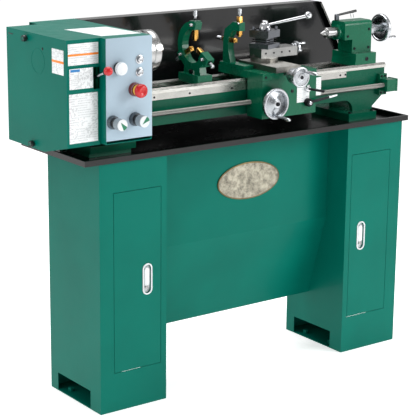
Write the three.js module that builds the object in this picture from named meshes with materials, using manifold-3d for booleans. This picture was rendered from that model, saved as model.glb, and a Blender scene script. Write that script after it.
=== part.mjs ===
// Benchtop metal lathe on a two-cabinet sheet-steel stand.
// Millimetres, +X along the bed towards the tailstock, +Y to the back, +Z up, floor at Z = 0.
import * as THREE from 'three';
import { mergeVertices } from 'three/addons/utils/BufferGeometryUtils.js';
import Module from 'manifold-3d';

const wasm = await Module();
wasm.setup();

// ---------------------------------------------------------------- driving dimensions

const GAP = 0.4; // clearance between pieces that touch
const SHEET = 2; // folded sheet steel

const axisY = 157; // spindle and tailstock centre line
const axisZ = 1054;

const cabinet = {
  width: 237, depth: 289, height: 768, leftX: -573, rightX: 376.5,
  outerMargin: 48, innerMargin: 20, doorBottom: 121, doorTop: 676,
  notchFront: 58, notchBack: 248, notchTop: 59, floorPlate: 3,
};
const door = { width: 169, flange: 14, play: 1.5, pullWidth: 33, pullHeight: 96, pullInset: 50, pullZ: 397 };
const apronPanel = { face: 96, foldZ: 450, toeY: 175.5, toeZ: 169 };
const plaque = { x: 45, z: 620, halfWidth: 123, halfHeight: 59.5, thickness: 3.5 };
const tray = { halfLength: 628, front: -13, back: 350, floorZ: 768.4, rimZ: 785, hem: 7, hemDepth: 3 };
const splash = { leftX: -407.6, cornerX: 532, rightX: 627, cornerZ: 968, topZ: 1131, lip: 44, flange: 20 };

const bed = {
  left: -559.5, right: 616, front: 92, back: 222, top: 949, wayUnderside: 933,
  railWidth: 34, webInset: 6, web: 14, webBottom: 835,
};
const rack = { from: -402, to: 440, bottom: 914, depth: 7.6 };
const screw = { y: 71, z: 877, radius: 8, from: -636, to: 623 };

const cover = { left: -676, right: -567.4, back: 338, bottom: 794, toeZ: 826, toeY: 129, top: 1131 };
const head = { left: -567, right: -410, front: 0, back: 395, bottom: 838, top: 1131 };
const control = { face: -29, lipZ: 829, panel: 2.2 };
const gearModule = 2.5;
const idler = { teeth: 46, y: 106.1, z: 989.1 };
const spindleTeeth = 20;
const screwTeeth = 48;
const gearPlane = { from: -625, to: -611 };
const beltPlane = { from: -600, to: -584 };
const motor = { y: 296, z: 930, radius: 58, from: -546, to: -430 };
const chuck = { radius: 62.5, face: -285, back: -345, rear: -384.6, slot: 14 };
const jawAngles = [163, 283, 43]; // degrees from +Y towards +Z

const steady = { x: -123, outer: 75, inner: 52 };
const follow = { x: 48 };
const carriage = { left: 27, right: 243, front: 10, back: 236, bottom: 832, top: 972 };
const crossSlide = { left: 72, right: 170, front: 0, back: 190, top: 990 };
const crossScrew = { x: 115, z: 966 };
const compound = { x: 135, y: 140, left: 100, right: 246, bottom: 1001, top: 1030, half: 30 };
const post = { size: 70, bottom: 1030.4, top: 1087, turn: 20 };
const tail = { nose: 402, left: 445, lowerLeft: 490, right: 574, half: 35, baseTop: 985, wheelX: 640 };

const finish = {
  green: { color: 0x0b6a58, roughness: 0.35, metalness: 0.1 },
  black: { color: 0x17181a, roughness: 0.3, metalness: 0.1 },
  panel: { color: 0xb4c3d0, roughness: 0.45, metalness: 0.2 },
  steel: { color: 0xa9a8a4, roughness: 0.35, metalness: 0.9 },
  chrome: { color: 0xe2e4e6, roughness: 0.15, metalness: 1 },
  brass: { color: 0xc79a4a, roughness: 0.35, metalness: 0.9 },
  red: { color: 0xc01f26, roughness: 0.3, metalness: 0 },
  grey: { color: 0xc9ced2, roughness: 0.4, metalness: 0 },
  rubber: { color: 0x1b1b1b, roughness: 0.8, metalness: 0 },
  iron: { color: 0x5b5f62, roughness: 0.5, metalness: 0.7 },
};

// ---------------------------------------------------------------- solids

function solidOf(geometry) {
  const plain = geometry.clone();
  plain.deleteAttribute('normal');
  plain.deleteAttribute('uv');
  const merged = mergeVertices(plain, 1e-4);
  const vertProperties = new Float32Array(merged.attributes.position.array);
  const triVerts = new Uint32Array(merged.index.array);
  return new wasm.Manifold(new wasm.Mesh({ numProp: 3, vertProperties, triVerts }));
}

function meshOf(name, solid, look) {
  const raw = solid.getMesh();
  const geometry = new THREE.BufferGeometry();
  geometry.setAttribute('position', new THREE.BufferAttribute(new Float32Array(raw.vertProperties), 3));
  geometry.setIndex(new THREE.BufferAttribute(new Uint32Array(raw.triVerts), 1));
  geometry.computeVertexNormals();
  const mesh = new THREE.Mesh(geometry, new THREE.MeshStandardMaterial(finish[look]));
  mesh.name = name;
  return mesh;
}

function box(x0, x1, y0, y1, z0, z1) {
  const geometry = new THREE.BoxGeometry(x1 - x0, y1 - y0, z1 - z0);
  geometry.translate((x0 + x1) / 2, (y0 + y1) / 2, (z0 + z1) / 2);
  return solidOf(geometry);
}

// Turns a shape extruded along its own Z so that it runs along the named axis.
const axisTurn = {
  x: new THREE.Matrix4().makeBasis(
    new THREE.Vector3(0, 1, 0), new THREE.Vector3(0, 0, 1), new THREE.Vector3(1, 0, 0)),
  y: new THREE.Matrix4().makeBasis(
    new THREE.Vector3(1, 0, 0), new THREE.Vector3(0, 0, 1), new THREE.Vector3(0, -1, 0)),
  z: new THREE.Matrix4(),
};

// A closed outline extruded along an axis. The outline is (y, z) for x, (x, z) for y and (x, y) for z.
function prism(axis, outline, from, to) {
  const shape = new THREE.Shape(outline.map(([u, v]) => new THREE.Vector2(u, v)));
  const geometry = new THREE.ExtrudeGeometry(shape, { depth: to - from, bevelEnabled: false });
  geometry.translate(0, 0, axis === 'y' ? -to : from);
  geometry.applyMatrix4(axisTurn[axis]);
  return solidOf(geometry);
}

function circle(radius, centre, segments = 16) {
  const points = [];
  for (let i = 0; i < segments; i += 1) {
    const angle = (i / segments) * 2 * Math.PI;
    points.push([centre[0] + radius * Math.cos(angle), centre[1] + radius * Math.sin(angle)]);
  }
  return points;
}

function arc(radius, centre, fromDegrees, toDegrees, segments) {
  const points = [];
  for (let i = 0; i <= segments; i += 1) {
    const angle = THREE.MathUtils.degToRad(fromDegrees + ((toDegrees - fromDegrees) * i) / segments);
    points.push([centre[0] + radius * Math.cos(angle), centre[1] + radius * Math.sin(angle)]);
  }
  return points;
}

function rod(axis, radius, centre, from, to, segments = 16) {
  return prism(axis, circle(radius, centre, segments), from, to);
}

function tube(axis, outer, inner, centre, from, to, segments = 16) {
  return rod(axis, outer, centre, from, to, segments).subtract(
    rod(axis, inner, centre, from - 1, to + 1, segments));
}

// Round steps along an axis: each step is [radius, from, to].
function steppedRod(axis, centre, steps, segments = 16) {
  return steps
    .map(([radius, from, to]) => rod(axis, radius, centre, from, to, segments))
    .reduce((whole, step) => whole.add(step));
}

function ball(radius, x, y, z) {
  const geometry = new THREE.SphereGeometry(radius, 12, 8);
  geometry.translate(x, y, z);
  return solidOf(geometry);
}

// A straight round bar between two points.
function bar(radius, start, end, segments = 10) {
  const a = new THREE.Vector3(...start);
  const b = new THREE.Vector3(...end);
  const geometry = new THREE.CylinderGeometry(radius, radius, a.distanceTo(b), segments);
  geometry.translate(0, a.distanceTo(b) / 2, 0);
  const direction = b.clone().sub(a).normalize();
  geometry.applyQuaternion(new THREE.Quaternion().setFromUnitVectors(new THREE.Vector3(0, 1, 0), direction));
  geometry.translate(a.x, a.y, a.z);
  return solidOf(geometry);
}

function join(...solids) {
  return solids.reduce((whole, solid) => whole.add(solid));
}

function cut(solid, ...tools) {
  return tools.reduce((whole, tool) => whole.subtract(tool), solid);
}

// The two ways on top of the bed, grown by a clearance so that sliding pieces can be cut to fit.
function ways(clearance, from, to) {
  const { front, back, top, wayUnderside, railWidth } = bed;
  const foot = wayUnderside - (clearance > 0 ? 10 : 0);
  const frontWay = [
    [front - clearance, foot], [front + railWidth + clearance, foot],
    [front + railWidth + clearance, top - 7 + clearance], [front + 14 + clearance * 0.4, top - 7 + clearance],
    [front + 7, top + clearance * 1.4], [front - clearance, top - 7 + clearance * 0.4],
  ];
  const rearWay = [
    [back - railWidth - clearance, foot], [back + clearance, foot],
    [back + clearance, top - 4 + clearance], [back - railWidth - clearance, top - 4 + clearance],
  ];
  return join(prism('x', frontWay, from, to), prism('x', rearWay, from, to));
}

function fitOverWays(solid) {
  return solid.subtract(ways(GAP, -900, 900));
}

// A spur gear with straight-sided teeth; the first tooth points at phase degrees.
function gear(teeth, centre, boreRadius, phase) {
  const pitch = (teeth * gearModule) / 2;
  const tip = pitch + 0.8 * gearModule;
  const root = pitch - 1.1 * gearModule;
  const step = 360 / teeth;
  const points = [];
  for (let i = 0; i < teeth; i += 1) {
    const middle = phase + i * step;
    for (const [radius, share] of [[root, -0.3], [tip, -0.12], [tip, 0.12], [root, 0.3]]) {
      const angle = THREE.MathUtils.degToRad(middle + share * step);
      points.push([centre[0] + radius * Math.cos(angle), centre[1] + radius * Math.sin(angle)]);
    }
  }
  return cut(
    prism('x', points, gearPlane.from, gearPlane.to),
    rod('x', boreRadius, centre, gearPlane.from - 1, gearPlane.to + 1));
}

// ---------------------------------------------------------------- stand

function cabinetGroup(side) {
  const group = new THREE.Group();
  group.position.x = side === 'left' ? cabinet.leftX : cabinet.rightX;
  const doorX = side === 'left' ? cabinet.outerMargin : cabinet.innerMargin;
  const { width, depth, height, floorPlate } = cabinet;

  const shell = cut(
    box(0, width, 0, depth, 0, height),
    box(SHEET, width - SHEET, SHEET, depth - SHEET, floorPlate, height - SHEET),
    box(doorX, doorX + door.width, -1, SHEET + 1, cabinet.doorBottom, cabinet.doorTop),
    box(-1, width + 1, cabinet.notchFront, cabinet.notchBack, floorPlate, cabinet.notchTop));
  const anchors = [];
  for (const x of [26, width - 26]) {
    for (const y of [85, 215]) {
      anchors.push(rod('z', 9, [x, y], floorPlate - 1, floorPlate + 12, 6));
    }
  }
  group.add(meshOf(`${side}_cabinet`, join(shell, ...anchors), 'green'));

  const x0 = doorX + door.play;
  const x1 = doorX + door.width - door.play;
  const z0 = cabinet.doorBottom + door.play;
  const z1 = cabinet.doorTop - door.play;
  const pan = cut(
    box(x0, x1, 0, door.flange, z0, z1),
    box(x0 + SHEET, x1 - SHEET, SHEET, door.flange + 1, z0 + SHEET, z1 - SHEET));
  const pullX = side === 'left' ? doorX + door.width - door.pullInset : doorX + door.pullInset;
  const halfWidth = door.pullWidth / 2;
  const straight = (door.pullHeight - door.pullWidth) / 2;
  const stadium = (radius) => [
    ...arc(radius, [pullX, door.pullZ + straight], 0, 180, 8),
    ...arc(radius, [pullX, door.pullZ - straight], 180, 360, 8),
  ];
  const pull = cut(
    prism('y', stadium(halfWidth), -1.5, 12),
    prism('y', stadium(halfWidth - 3), -2, 9));
  group.add(meshOf(`${side}_door`, cut(pan, prism('y', stadium(halfWidth - 1), -2, 3)).add(pull), 'green'));
  return group;
}

function standGroup() {
  const group = new THREE.Group();
  group.add(cabinetGroup('left'));
  group.add(cabinetGroup('right'));

  const { face, foldZ, toeY, toeZ } = apronPanel;
  const top = cabinet.height - GAP;
  const outline = [
    [face, top], [face, foldZ], [toeY, toeZ], [toeY + 34, toeZ], [toeY + 34, toeZ + SHEET],
    [toeY + SHEET, toeZ + SHEET], [face + SHEET, foldZ + 0.5], [face + SHEET, top],
  ];
  const panelFrom = cabinet.leftX + cabinet.width + GAP;
  group.add(meshOf('centre_panel', prism('x', outline, panelFrom, cabinet.rightX - GAP), 'green'));

  const oval = circle(1, [0, 0], 40).map(([u, v]) => [
    plaque.x + u * plaque.halfWidth, plaque.z + v * plaque.halfHeight]);
  const plaqueBack = face - GAP;
  group.add(meshOf('oval_plaque', prism('y', oval, plaqueBack - plaque.thickness, plaqueBack), 'brass'));

  const { halfLength, front, back, floorZ, rimZ, hem, hemDepth } = tray;
  const pan = cut(
    box(-halfLength, halfLength, front, back, floorZ, rimZ),
    box(-halfLength + SHEET, halfLength - SHEET, front + SHEET, back - SHEET, floorZ + SHEET, rimZ - hemDepth),
    box(-halfLength + hem, halfLength - hem, front + hem, back - hem, rimZ - hemDepth - 1, rimZ + 1));
  group.add(meshOf('chip_tray', pan, 'black'));

  const sheetFront = back + GAP;
  const sheetBack = sheetFront + SHEET;
  const bottom = floorZ + 4;
  const outer = [
    [splash.leftX, bottom], [splash.rightX, bottom], [splash.rightX, splash.cornerZ],
    [splash.cornerX, splash.topZ], [splash.leftX, splash.topZ],
  ];
  const sheet = prism('y', outer, sheetFront, sheetBack);
  const lip = box(splash.leftX, splash.cornerX, sheetFront, sheetFront + splash.lip,
    splash.topZ - SHEET, splash.topZ);
  const slant = [
    [splash.rightX, tray.rimZ + 3], [splash.rightX, splash.cornerZ], [splash.cornerX, splash.topZ],
    [splash.cornerX - SHEET * 1.2, splash.topZ], [splash.rightX - SHEET, splash.cornerZ - 1],
    [splash.rightX - SHEET, tray.rimZ + 3],
  ];
  const flange = prism('y', slant, sheetFront - splash.flange, sheetFront + 1);
  group.add(meshOf('splash_guard', join(sheet, lip, flange), 'black'));
  return group;
}

// ---------------------------------------------------------------- bed and leadscrew

function bedGroup() {
  const group = new THREE.Group();
  const { left, right, wayUnderside, webBottom } = bed;
  const side = [
    [left, wayUnderside + 1], [left, 803], [-402, 803], ...arc(36, [-376, 799], 165, 90, 6),
    ...arc(36, [443, 799], 90, 15, 6), [480, 794], [566, 794], [566, 805], [right, 845],
    [right, wayUnderside + 1],
  ];
  const frontWeb = bed.front + bed.webInset;
  const backWeb = bed.back - bed.webInset;
  const ribs = [-545, -410, -200, 0, 200, 400, 590].map((x) => (
    box(x, x + 14, frontWeb + 2, backWeb - 2, webBottom + 12, wayUnderside - 4)));
  const leftPad = join(
    box(left, -402, 66, 248, 785, 804),
    box(left, -414, 74, 240, tray.floorZ + SHEET + GAP, 786));
  const rightPad = box(433, 553, 62, 252, tray.floorZ + SHEET + GAP, 796);
  const casting = join(
    ways(0, left, right),
    prism('y', side, frontWeb, frontWeb + bed.web),
    prism('y', side, backWeb - bed.web, backWeb),
    ...ribs, leftPad, rightPad);
  group.add(meshOf('bed_casting', casting, 'green'));

  const rackBack = frontWeb - GAP;
  const rackBar = box(rack.from, rack.to, rackBack - rack.depth, rackBack, rack.bottom, wayUnderside - GAP);
  group.add(meshOf('gear_rack', rackBar, 'steel'));

  const bracket = cut(
    join(
      box(584, right, 84, frontWeb - GAP, 842, 912),
      box(588, 628, 51, 91, 857, 897),
      box(628, 634, 50, 92, 856, 898)),
    rod('x', screw.radius + GAP, [screw.y, screw.z], 580, screw.to + 1));
  group.add(meshOf('leadscrew_bracket', bracket, 'green'));
  return group;
}

// ---------------------------------------------------------------- headstock and drive

function directionDegrees(fromY, fromZ, toY, toZ) {
  return THREE.MathUtils.radToDeg(Math.atan2(toZ - fromZ, toY - fromY));
}

function headstockGroup() {
  const group = new THREE.Group();
  const centre = [axisY, axisZ];
  const body = join(
    box(-560, -416, 84, 230, 936, 1112),
    prism('x', [[20, 850], [88, 850], [88, 951], [226, 951], [226, 860], [335, 860], [335, 1112], [20, 1112]],
      -566.6, -559.9));
  const leverPin = rod('x', 5, [55, 1000], -589, -564);
  const idlerStud = rod('x', 8, [idler.y, idler.z], -631, -564);
  const casting = cut(
    join(fitOverWays(body), leverPin, idlerStud),
    rod('x', 26, centre, -580, -400),
    rod('x', 40, centre, -580, -545, 24),
    rod('x', 40, centre, -431, -400, 24),
    rod('x', 11, [screw.y, screw.z], -580, -400),
    rod('x', 14, [motor.y, motor.z], -580, -550));
  group.add(meshOf('headstock_casting', casting, 'green'));

  const shell = cut(
    join(
      box(head.left, head.right, head.front, head.back, head.bottom, head.top),
      box(head.left + 1, head.right - 1, control.face, head.front + 1, control.lipZ, head.top)),
    box(head.left - 1, head.right - SHEET, head.front + SHEET, head.back - SHEET, 800, head.top - SHEET),
    box(head.left + 1 + SHEET, head.right - 1 - SHEET, control.face - 1, head.front,
      control.lipZ + SHEET, head.top - SHEET),
    box(head.right - 5, head.right + 1, 85, 229, 800, 951),
    rod('x', 38, centre, head.right - 5, head.right + 1),
    rod('x', 11, [screw.y, screw.z], head.right - 5, head.right + 1));
  group.add(meshOf('headstock_cover', shell, 'green'));

  const profile = [
    [0, cover.toeZ], [cover.toeY, cover.bottom], [cover.back, cover.bottom], [cover.back, cover.top],
    [0, cover.top]];
  const hollow = [
    [SHEET, cover.toeZ + 1.6], [cover.toeY + 0.3, cover.bottom + SHEET],
    [cover.back - SHEET, cover.bottom + SHEET], [cover.back - SHEET, cover.top - SHEET],
    [SHEET, cover.top - SHEET]];
  const knobs = [[220, 1112], [190, 808]].map((place) => (
    steppedRod('x', place, [[9, cover.left - 14, cover.left - 3], [6, cover.left - 4, cover.left + 1]], 16)));
  const endCover = join(
    cut(
      prism('x', profile, cover.left, cover.right),
      prism('x', hollow, cover.left + SHEET, cover.right + 1),
      box(-588.5, cover.right + 1, -1, SHEET + 1, 987, 1050)),
    ...knobs);
  group.add(meshOf('end_cover', endCover, 'green'));

  const spindle = cut(
    steppedRod('x', centre, [
      [15, -640, -605], [18, -606, -574], [22, -575, -399], [36, -400, -385]], 24),
    rod('x', 10, centre, -650, -380));
  group.add(meshOf('spindle', spindle, 'steel'));
  group.add(meshOf('spindle_rear_bearing', tube('x', 39.6, 22.4, centre, -559.6, -545.4, 24), 'steel'));
  group.add(meshOf('spindle_front_bearing', tube('x', 39.6, 22.4, centre, -430.6, -416, 24), 'steel'));

  const screwCentre = [screw.y, screw.z];
  const toIdler = directionDegrees(axisY, axisZ, idler.y, idler.z);
  const toScrew = directionDegrees(idler.y, idler.z, screw.y, screw.z);
  const idlerStep = 360 / idler.teeth;
  const idlerPhase = toIdler + 180 + idlerStep / 2;
  const teethToScrew = (toScrew - idlerPhase) / idlerStep;
  const screwPhase = toScrew + 180 + (teethToScrew + 0.5) * (360 / screwTeeth);
  group.add(meshOf('spindle_gear', gear(spindleTeeth, centre, 15.4, toIdler), 'steel'));
  group.add(meshOf('idler_gear', gear(idler.teeth, [idler.y, idler.z], 8.4, idlerPhase), 'steel'));
  const leadscrew = join(
    rod('x', screw.radius, screwCentre, screw.from, screw.to),
    gear(screwTeeth, screwCentre, 6, screwPhase));
  group.add(meshOf('leadscrew', leadscrew, 'steel'));

  const pulley = (place, radius, bore) => cut(
    steppedRod('x', place, [
      [radius + 6, beltPlane.from - 3, beltPlane.from], [radius, beltPlane.from - 1, beltPlane.to + 1],
      [radius + 6, beltPlane.to, beltPlane.to + 3]], 24),
    rod('x', bore, place, beltPlane.from - 4, beltPlane.to + 4));
  const motorCentre = [motor.y, motor.z];
  group.add(meshOf('spindle_pulley', pulley(centre, 50, 18.4), 'iron'));
  group.add(meshOf('motor_pulley', pulley(motorCentre, 25, 9.4), 'iron'));
  group.add(meshOf('motor', steppedRod('x', motorCentre, [
    [motor.radius, motor.from, motor.to], [9, -603, motor.from + 1]], 24), 'iron'));

  const along = directionDegrees(axisY, axisZ, motor.y, motor.z);
  const distance = Math.hypot(motor.y - axisY, motor.z - axisZ);
  const wrap = THREE.MathUtils.radToDeg(Math.acos(25 / distance));
  const loop = (grow) => [
    ...arc(50 + grow, centre, along + wrap, along + 360 - wrap, 20),
    ...arc(25 + grow, motorCentre, along - wrap, along + wrap, 10)];
  const belt = cut(
    prism('x', loop(6), beltPlane.from + GAP, beltPlane.to - GAP),
    prism('x', loop(GAP), beltPlane.from - 1, beltPlane.to + 1));
  group.add(meshOf('drive_belt', belt, 'rubber'));
  return group;
}

function controlGroup() {
  const group = new THREE.Group();
  const back = control.face - GAP;
  const face = back - control.panel;
  const onFace = (place, steps) => steppedRod('y', place, steps.map(([radius, from, to]) => (
    [radius, face - to, face - from])), 16);
  const lamp = onFace([-526, 1046], [[15, -1, 14], [19, 13, 21]]);
  const stopCollar = onFace([-472.5, 981], [[19, -1, 15], [14, 14, 24]]);
  const plate = join(
    box(head.left + 1, head.right - 1, face, back, head.bottom + 1, head.top), lamp, stopCollar);
  const panel = cut(plate, rod('y', 7, [-472.5, 981], face - 30, face - 5));
  group.add(meshOf('control_panel', panel, 'panel'));
  group.add(meshOf('emergency_stop_button', onFace([-472.5, 981], [
    [6, 12, 31], [20, 30, 40], [17, 39, 46]]), 'red'));
  for (const [name, z] of [['upper', 1065], ['lower', 1029]]) {
    group.add(meshOf(`${name}_push_button`, onFace([-454, z], [[9, GAP + 3, 9]]), 'chrome'));
  }
  for (const [name, x, z] of [['left', -546, 893], ['right', -471, 895]]) {
    group.add(meshOf(`${name}_selector_knob`, onFace([x, z], [
      [20, GAP, 13], [15, 12, 28], [17, 27, 54]]), 'grey'));
  }
  const lever = cut(
    join(
      rod('x', 10, [55, 1000], -585, -572),
      bar(4, [-578, 55, 1000], [-578, -52, 1042.5]),
      ball(13, -578, -61, 1046)),
    rod('x', 5.4, [55, 1000], -600, -560));
  group.add(meshOf('feed_direction_lever', lever, 'red'));
  return group;
}

function chuckGroup() {
  const group = new THREE.Group();
  const centre = [axisY, axisZ];
  const slots = jawAngles.map((angle) => {
    const slot = box(chuck.face - 18, chuck.face + 1, 6, chuck.radius + 5, -chuck.slot / 2, chuck.slot / 2);
    return slot.rotate([angle, 0, 0]).translate([0, axisY, axisZ]);
  });
  const body = cut(
    steppedRod('x', centre, [
      [52, chuck.rear, chuck.back], [chuck.radius, chuck.back - 1, chuck.face - 3],
      [chuck.radius - 2.5, chuck.face - 4, chuck.face]], 28),
    rod('x', 13, centre, chuck.rear - 1, chuck.face + 1),
    ...slots);
  group.add(meshOf('chuck_body', body, 'chrome'));
  jawAngles.forEach((angle, index) => {
    const half = chuck.slot / 2 - GAP;
    const jaw = join(
      box(chuck.face - 17, chuck.face + 2, 16, 58, -half, half),
      box(chuck.face + GAP, chuck.face + 24, 16, 28, -half, half),
      box(chuck.face + GAP, chuck.face + 14, 27, 42, -half, half));
    const placed = jaw.rotate([angle, 0, 0]).translate([0, axisY, axisZ]);
    group.add(meshOf(`chuck_jaw_${index + 1}`, placed, 'steel'));
  });
  return group;
}

// ---------------------------------------------------------------- steady rest and follow rest

// A finger with its adjusting screw, pointing outwards from the centre line at an angle.
function restFinger(tip, root, knobEnd, angle, x) {
  const finger = join(
    box(-7, 7, tip, root, -7, 7),
    rod('y', 3.5, [0, 0], root - 1, knobEnd - 10, 12),
    rod('y', 6.5, [0, 0], knobEnd - 20, knobEnd, 12));
  return finger.rotate([angle, 0, 0]).translate([x, axisY, axisZ]);
}

function fingerHole(from, to, angle, x) {
  return box(-7.5, 7.5, from, to, -7.5, 7.5).rotate([angle, 0, 0]).translate([x, axisY, axisZ]);
}

function steadyRestGroup() {
  const group = new THREE.Group();
  const { x, outer, inner } = steady;
  const at = (solid) => solid.translate([x, axisY, axisZ]);
  const ring = prism('x', [
    ...arc(outer, [0, 0], -160, 105, 22), ...arc(inner, [0, 0], 105, -160, 22)], -12, 12);
  const boss = (from, to, angle) => box(-13, 13, from, to, -13, 13).rotate([angle, 0, 0]);
  const column = cut(
    prism('x', [[-46, -94], [-38, -52], [38, -52], [44, -94]], -12, 12),
    box(-13, 13, -14, 16, -88, -70));
  const foot = box(-27, 27, -53, 49, -112, -85);
  const frame = cut(
    fitOverWays(at(join(ring, boss(50, 77, 90), boss(48, 88, 210), boss(50, 82, -30), column, foot))),
    ...[90, 210, -30].map((angle) => fingerHole(30, 95, angle, x)));
  group.add(meshOf('steady_rest_frame', frame, 'green'));
  for (const [name, angle] of [['top', 90], ['front', 210], ['back', -30]]) {
    group.add(meshOf(`steady_rest_${name}_finger`, restFinger(15, 84, 110, angle, x), 'brass'));
  }
  return group;
}

function followRestGroup() {
  const group = new THREE.Group();
  const { x } = follow;
  const at = (solid) => solid.translate([x, axisY, axisZ]);
  const column = prism('x', [
    [70, -82], [26, -82], [44, -30], [42, 10], [18, 34], [-13, 34], [-13, 60], [20, 60], [62, 34],
    [70, 0]], -11, 11);
  const foot = box(-19, 19, -50, 76, -81.6, -70);
  const frame = cut(
    at(join(column, foot)),
    fingerHole(20, 90, 90, x), fingerHole(20, 90, 0, x));
  group.add(meshOf('follow_rest_frame', frame, 'green'));
  for (const [name, angle, root, end] of [['top', 90, 78, 104], ['back', 0, 82, 112]]) {
    group.add(meshOf(`follow_rest_${name}_finger`, restFinger(14, root, end, angle, x), 'brass'));
  }
  return group;
}

// ---------------------------------------------------------------- carriage

// A dished handwheel standing on its own Y axis: rim, thin disc and hub.
function handwheel(radius, rimWidth, hubRadius, hubLength) {
  const rim = tube('y', radius, radius - 9, [0, 0], 0, rimWidth, 24);
  const disc = rod('y', radius - 7, [0, 0], 3, 8, 24);
  return join(rim, disc, rod('y', hubRadius, [0, 0], -3, hubLength, 20));
}

function carriageGroup() {
  const group = new THREE.Group();
  const { left, right, front, back, bottom, top } = carriage;

  const saddleBlock = join(
    box(left, right, front, back, bed.top + 1, top),
    box(left + 20, right - 20, bed.front - 2, bed.back + 12, 935, top));
  const saddle = cut(
    fitOverWays(saddleBlock),
    rod('y', 5.2, [crossScrew.x, crossScrew.z], front - 1, front + 14));
  group.add(meshOf('saddle', saddle, 'green'));

  const apron = cut(
    join(
      box(left, right, front, 85, bottom, bed.top + 1 - GAP),
      box(right - 1, right + 38, 30, 68, 880, 940)),
    rod('x', screw.radius + GAP, [screw.y, screw.z], left - 1, right + 40),
    rod('y', 9.4, [59, 882], front - 1, front + 30),
    rod('y', 7.4, [207, 868], front - 1, front + 20),
    rod('y', 7.4, [203, 912], front - 1, front + 20));
  group.add(meshOf('apron', apron, 'green'));

  const wheel = join(
    handwheel(49, 14, 14, 20),
    rod('y', 9, [0, 0], 19, 58),
    rod('y', 6, [0, -40], -62, 4, 12)).translate([59, -24, 882]);
  group.add(meshOf('carriage_handwheel', wheel, 'chrome'));

  const halfNutLever = join(
    steppedRod('y', [207, 868], [[13, -8, front - GAP], [7, front - 1, front + 18]]),
    bar(4, [207, 0, 868], [318, -6, 882]));
  group.add(meshOf('half_nut_lever', halfNutLever, 'chrome'));
  const feedLever = join(
    steppedRod('y', [203, 912], [[10, -4, front - GAP], [7, front - 1, front + 18]]),
    bar(4.5, [203, 0, 912], [230, -46, 908]));
  group.add(meshOf('feed_lever', feedLever, 'iron'));

  const slide = box(
    crossSlide.left, crossSlide.right, crossSlide.front, crossSlide.back, top + GAP, crossSlide.top);
  group.add(meshOf('cross_slide', slide, 'steel'));
  const crossWheel = join(
    steppedRod('y', [0, 0], [[24, -58, -26], [12, -27, -8], [4.5, -9, front + 12]]),
    rod('y', 32, [0, 0], -72, -57, 24),
    rod('y', 5.5, [12, 17], -128, -70, 12)).translate([crossScrew.x, -GAP, crossScrew.z]);
  group.add(meshOf('cross_slide_handwheel', crossWheel, 'chrome'));

  const { x, y, half } = compound;
  const swivel = join(
    rod('z', 44, [x, y], crossSlide.top + GAP, compound.bottom, 28),
    box(compound.left + 4, compound.right - 30, y - 14, y + 14, compound.bottom - 1, compound.bottom + 8));
  group.add(meshOf('compound_swivel', swivel, 'steel'));
  const rest = cut(
    box(compound.left, compound.right, y - half, y + half, compound.bottom + GAP, compound.top),
    box(compound.left - 30, compound.right + 40, y - 14.4, y + 14.4, compound.bottom - 1, compound.bottom + 8.5));
  group.add(meshOf('compound_slide', rest, 'steel'));
  const from = compound.right + GAP;
  const middle = (compound.bottom + compound.top) / 2 + 5;
  const compoundWheel = join(
    steppedRod('x', [y, middle], [[14, from, from + 14], [20, from + 12, from + 24]]),
    rod('x', 4.5, [y - 8, middle + 13], from + 20, from + 50, 12),
    rod('x', 4.5, [y + 8, middle - 13], from + 20, from + 50, 12));
  group.add(meshOf('compound_handwheel', compoundWheel, 'chrome'));

  const halfPost = post.size / 2;
  const slotDepth = 14;
  const block = box(-halfPost, halfPost, -halfPost, halfPost, post.bottom, post.top);
  const notch = box(halfPost - slotDepth, halfPost + 1, -halfPost - 1, halfPost + 1, post.bottom + 14, post.bottom + 34);
  const notches = [0, 90, 180, 270].map((turn) => notch.rotate([0, 0, turn]));
  const bolts = [];
  for (const u of [-26, 26]) {
    for (const v of [-26, 26]) {
      bolts.push(rod('z', 4.5, [u, v], post.top - 1, post.top + 10, 6));
    }
  }
  const toolPost = join(cut(block, ...notches), ...bolts);
  const placedPost = toolPost.rotate([0, 0, post.turn]).translate([x, y, 0]);
  group.add(meshOf('tool_post', placedPost, 'iron'));
  const hub = post.top + GAP;
  const postLever = join(
    rod('z', 16, [x, y], hub, hub + 20),
    rod('z', 9, [x, y], hub + 19, hub + 28, 12),
    bar(5.5, [x + 8, y - 4, hub + 14], [262, 86, 1127]),
    ball(12, 266, 85, 1129));
  group.add(meshOf('tool_post_lever', postLever, 'chrome'));
  return group;
}

// ---------------------------------------------------------------- tailstock

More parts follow.
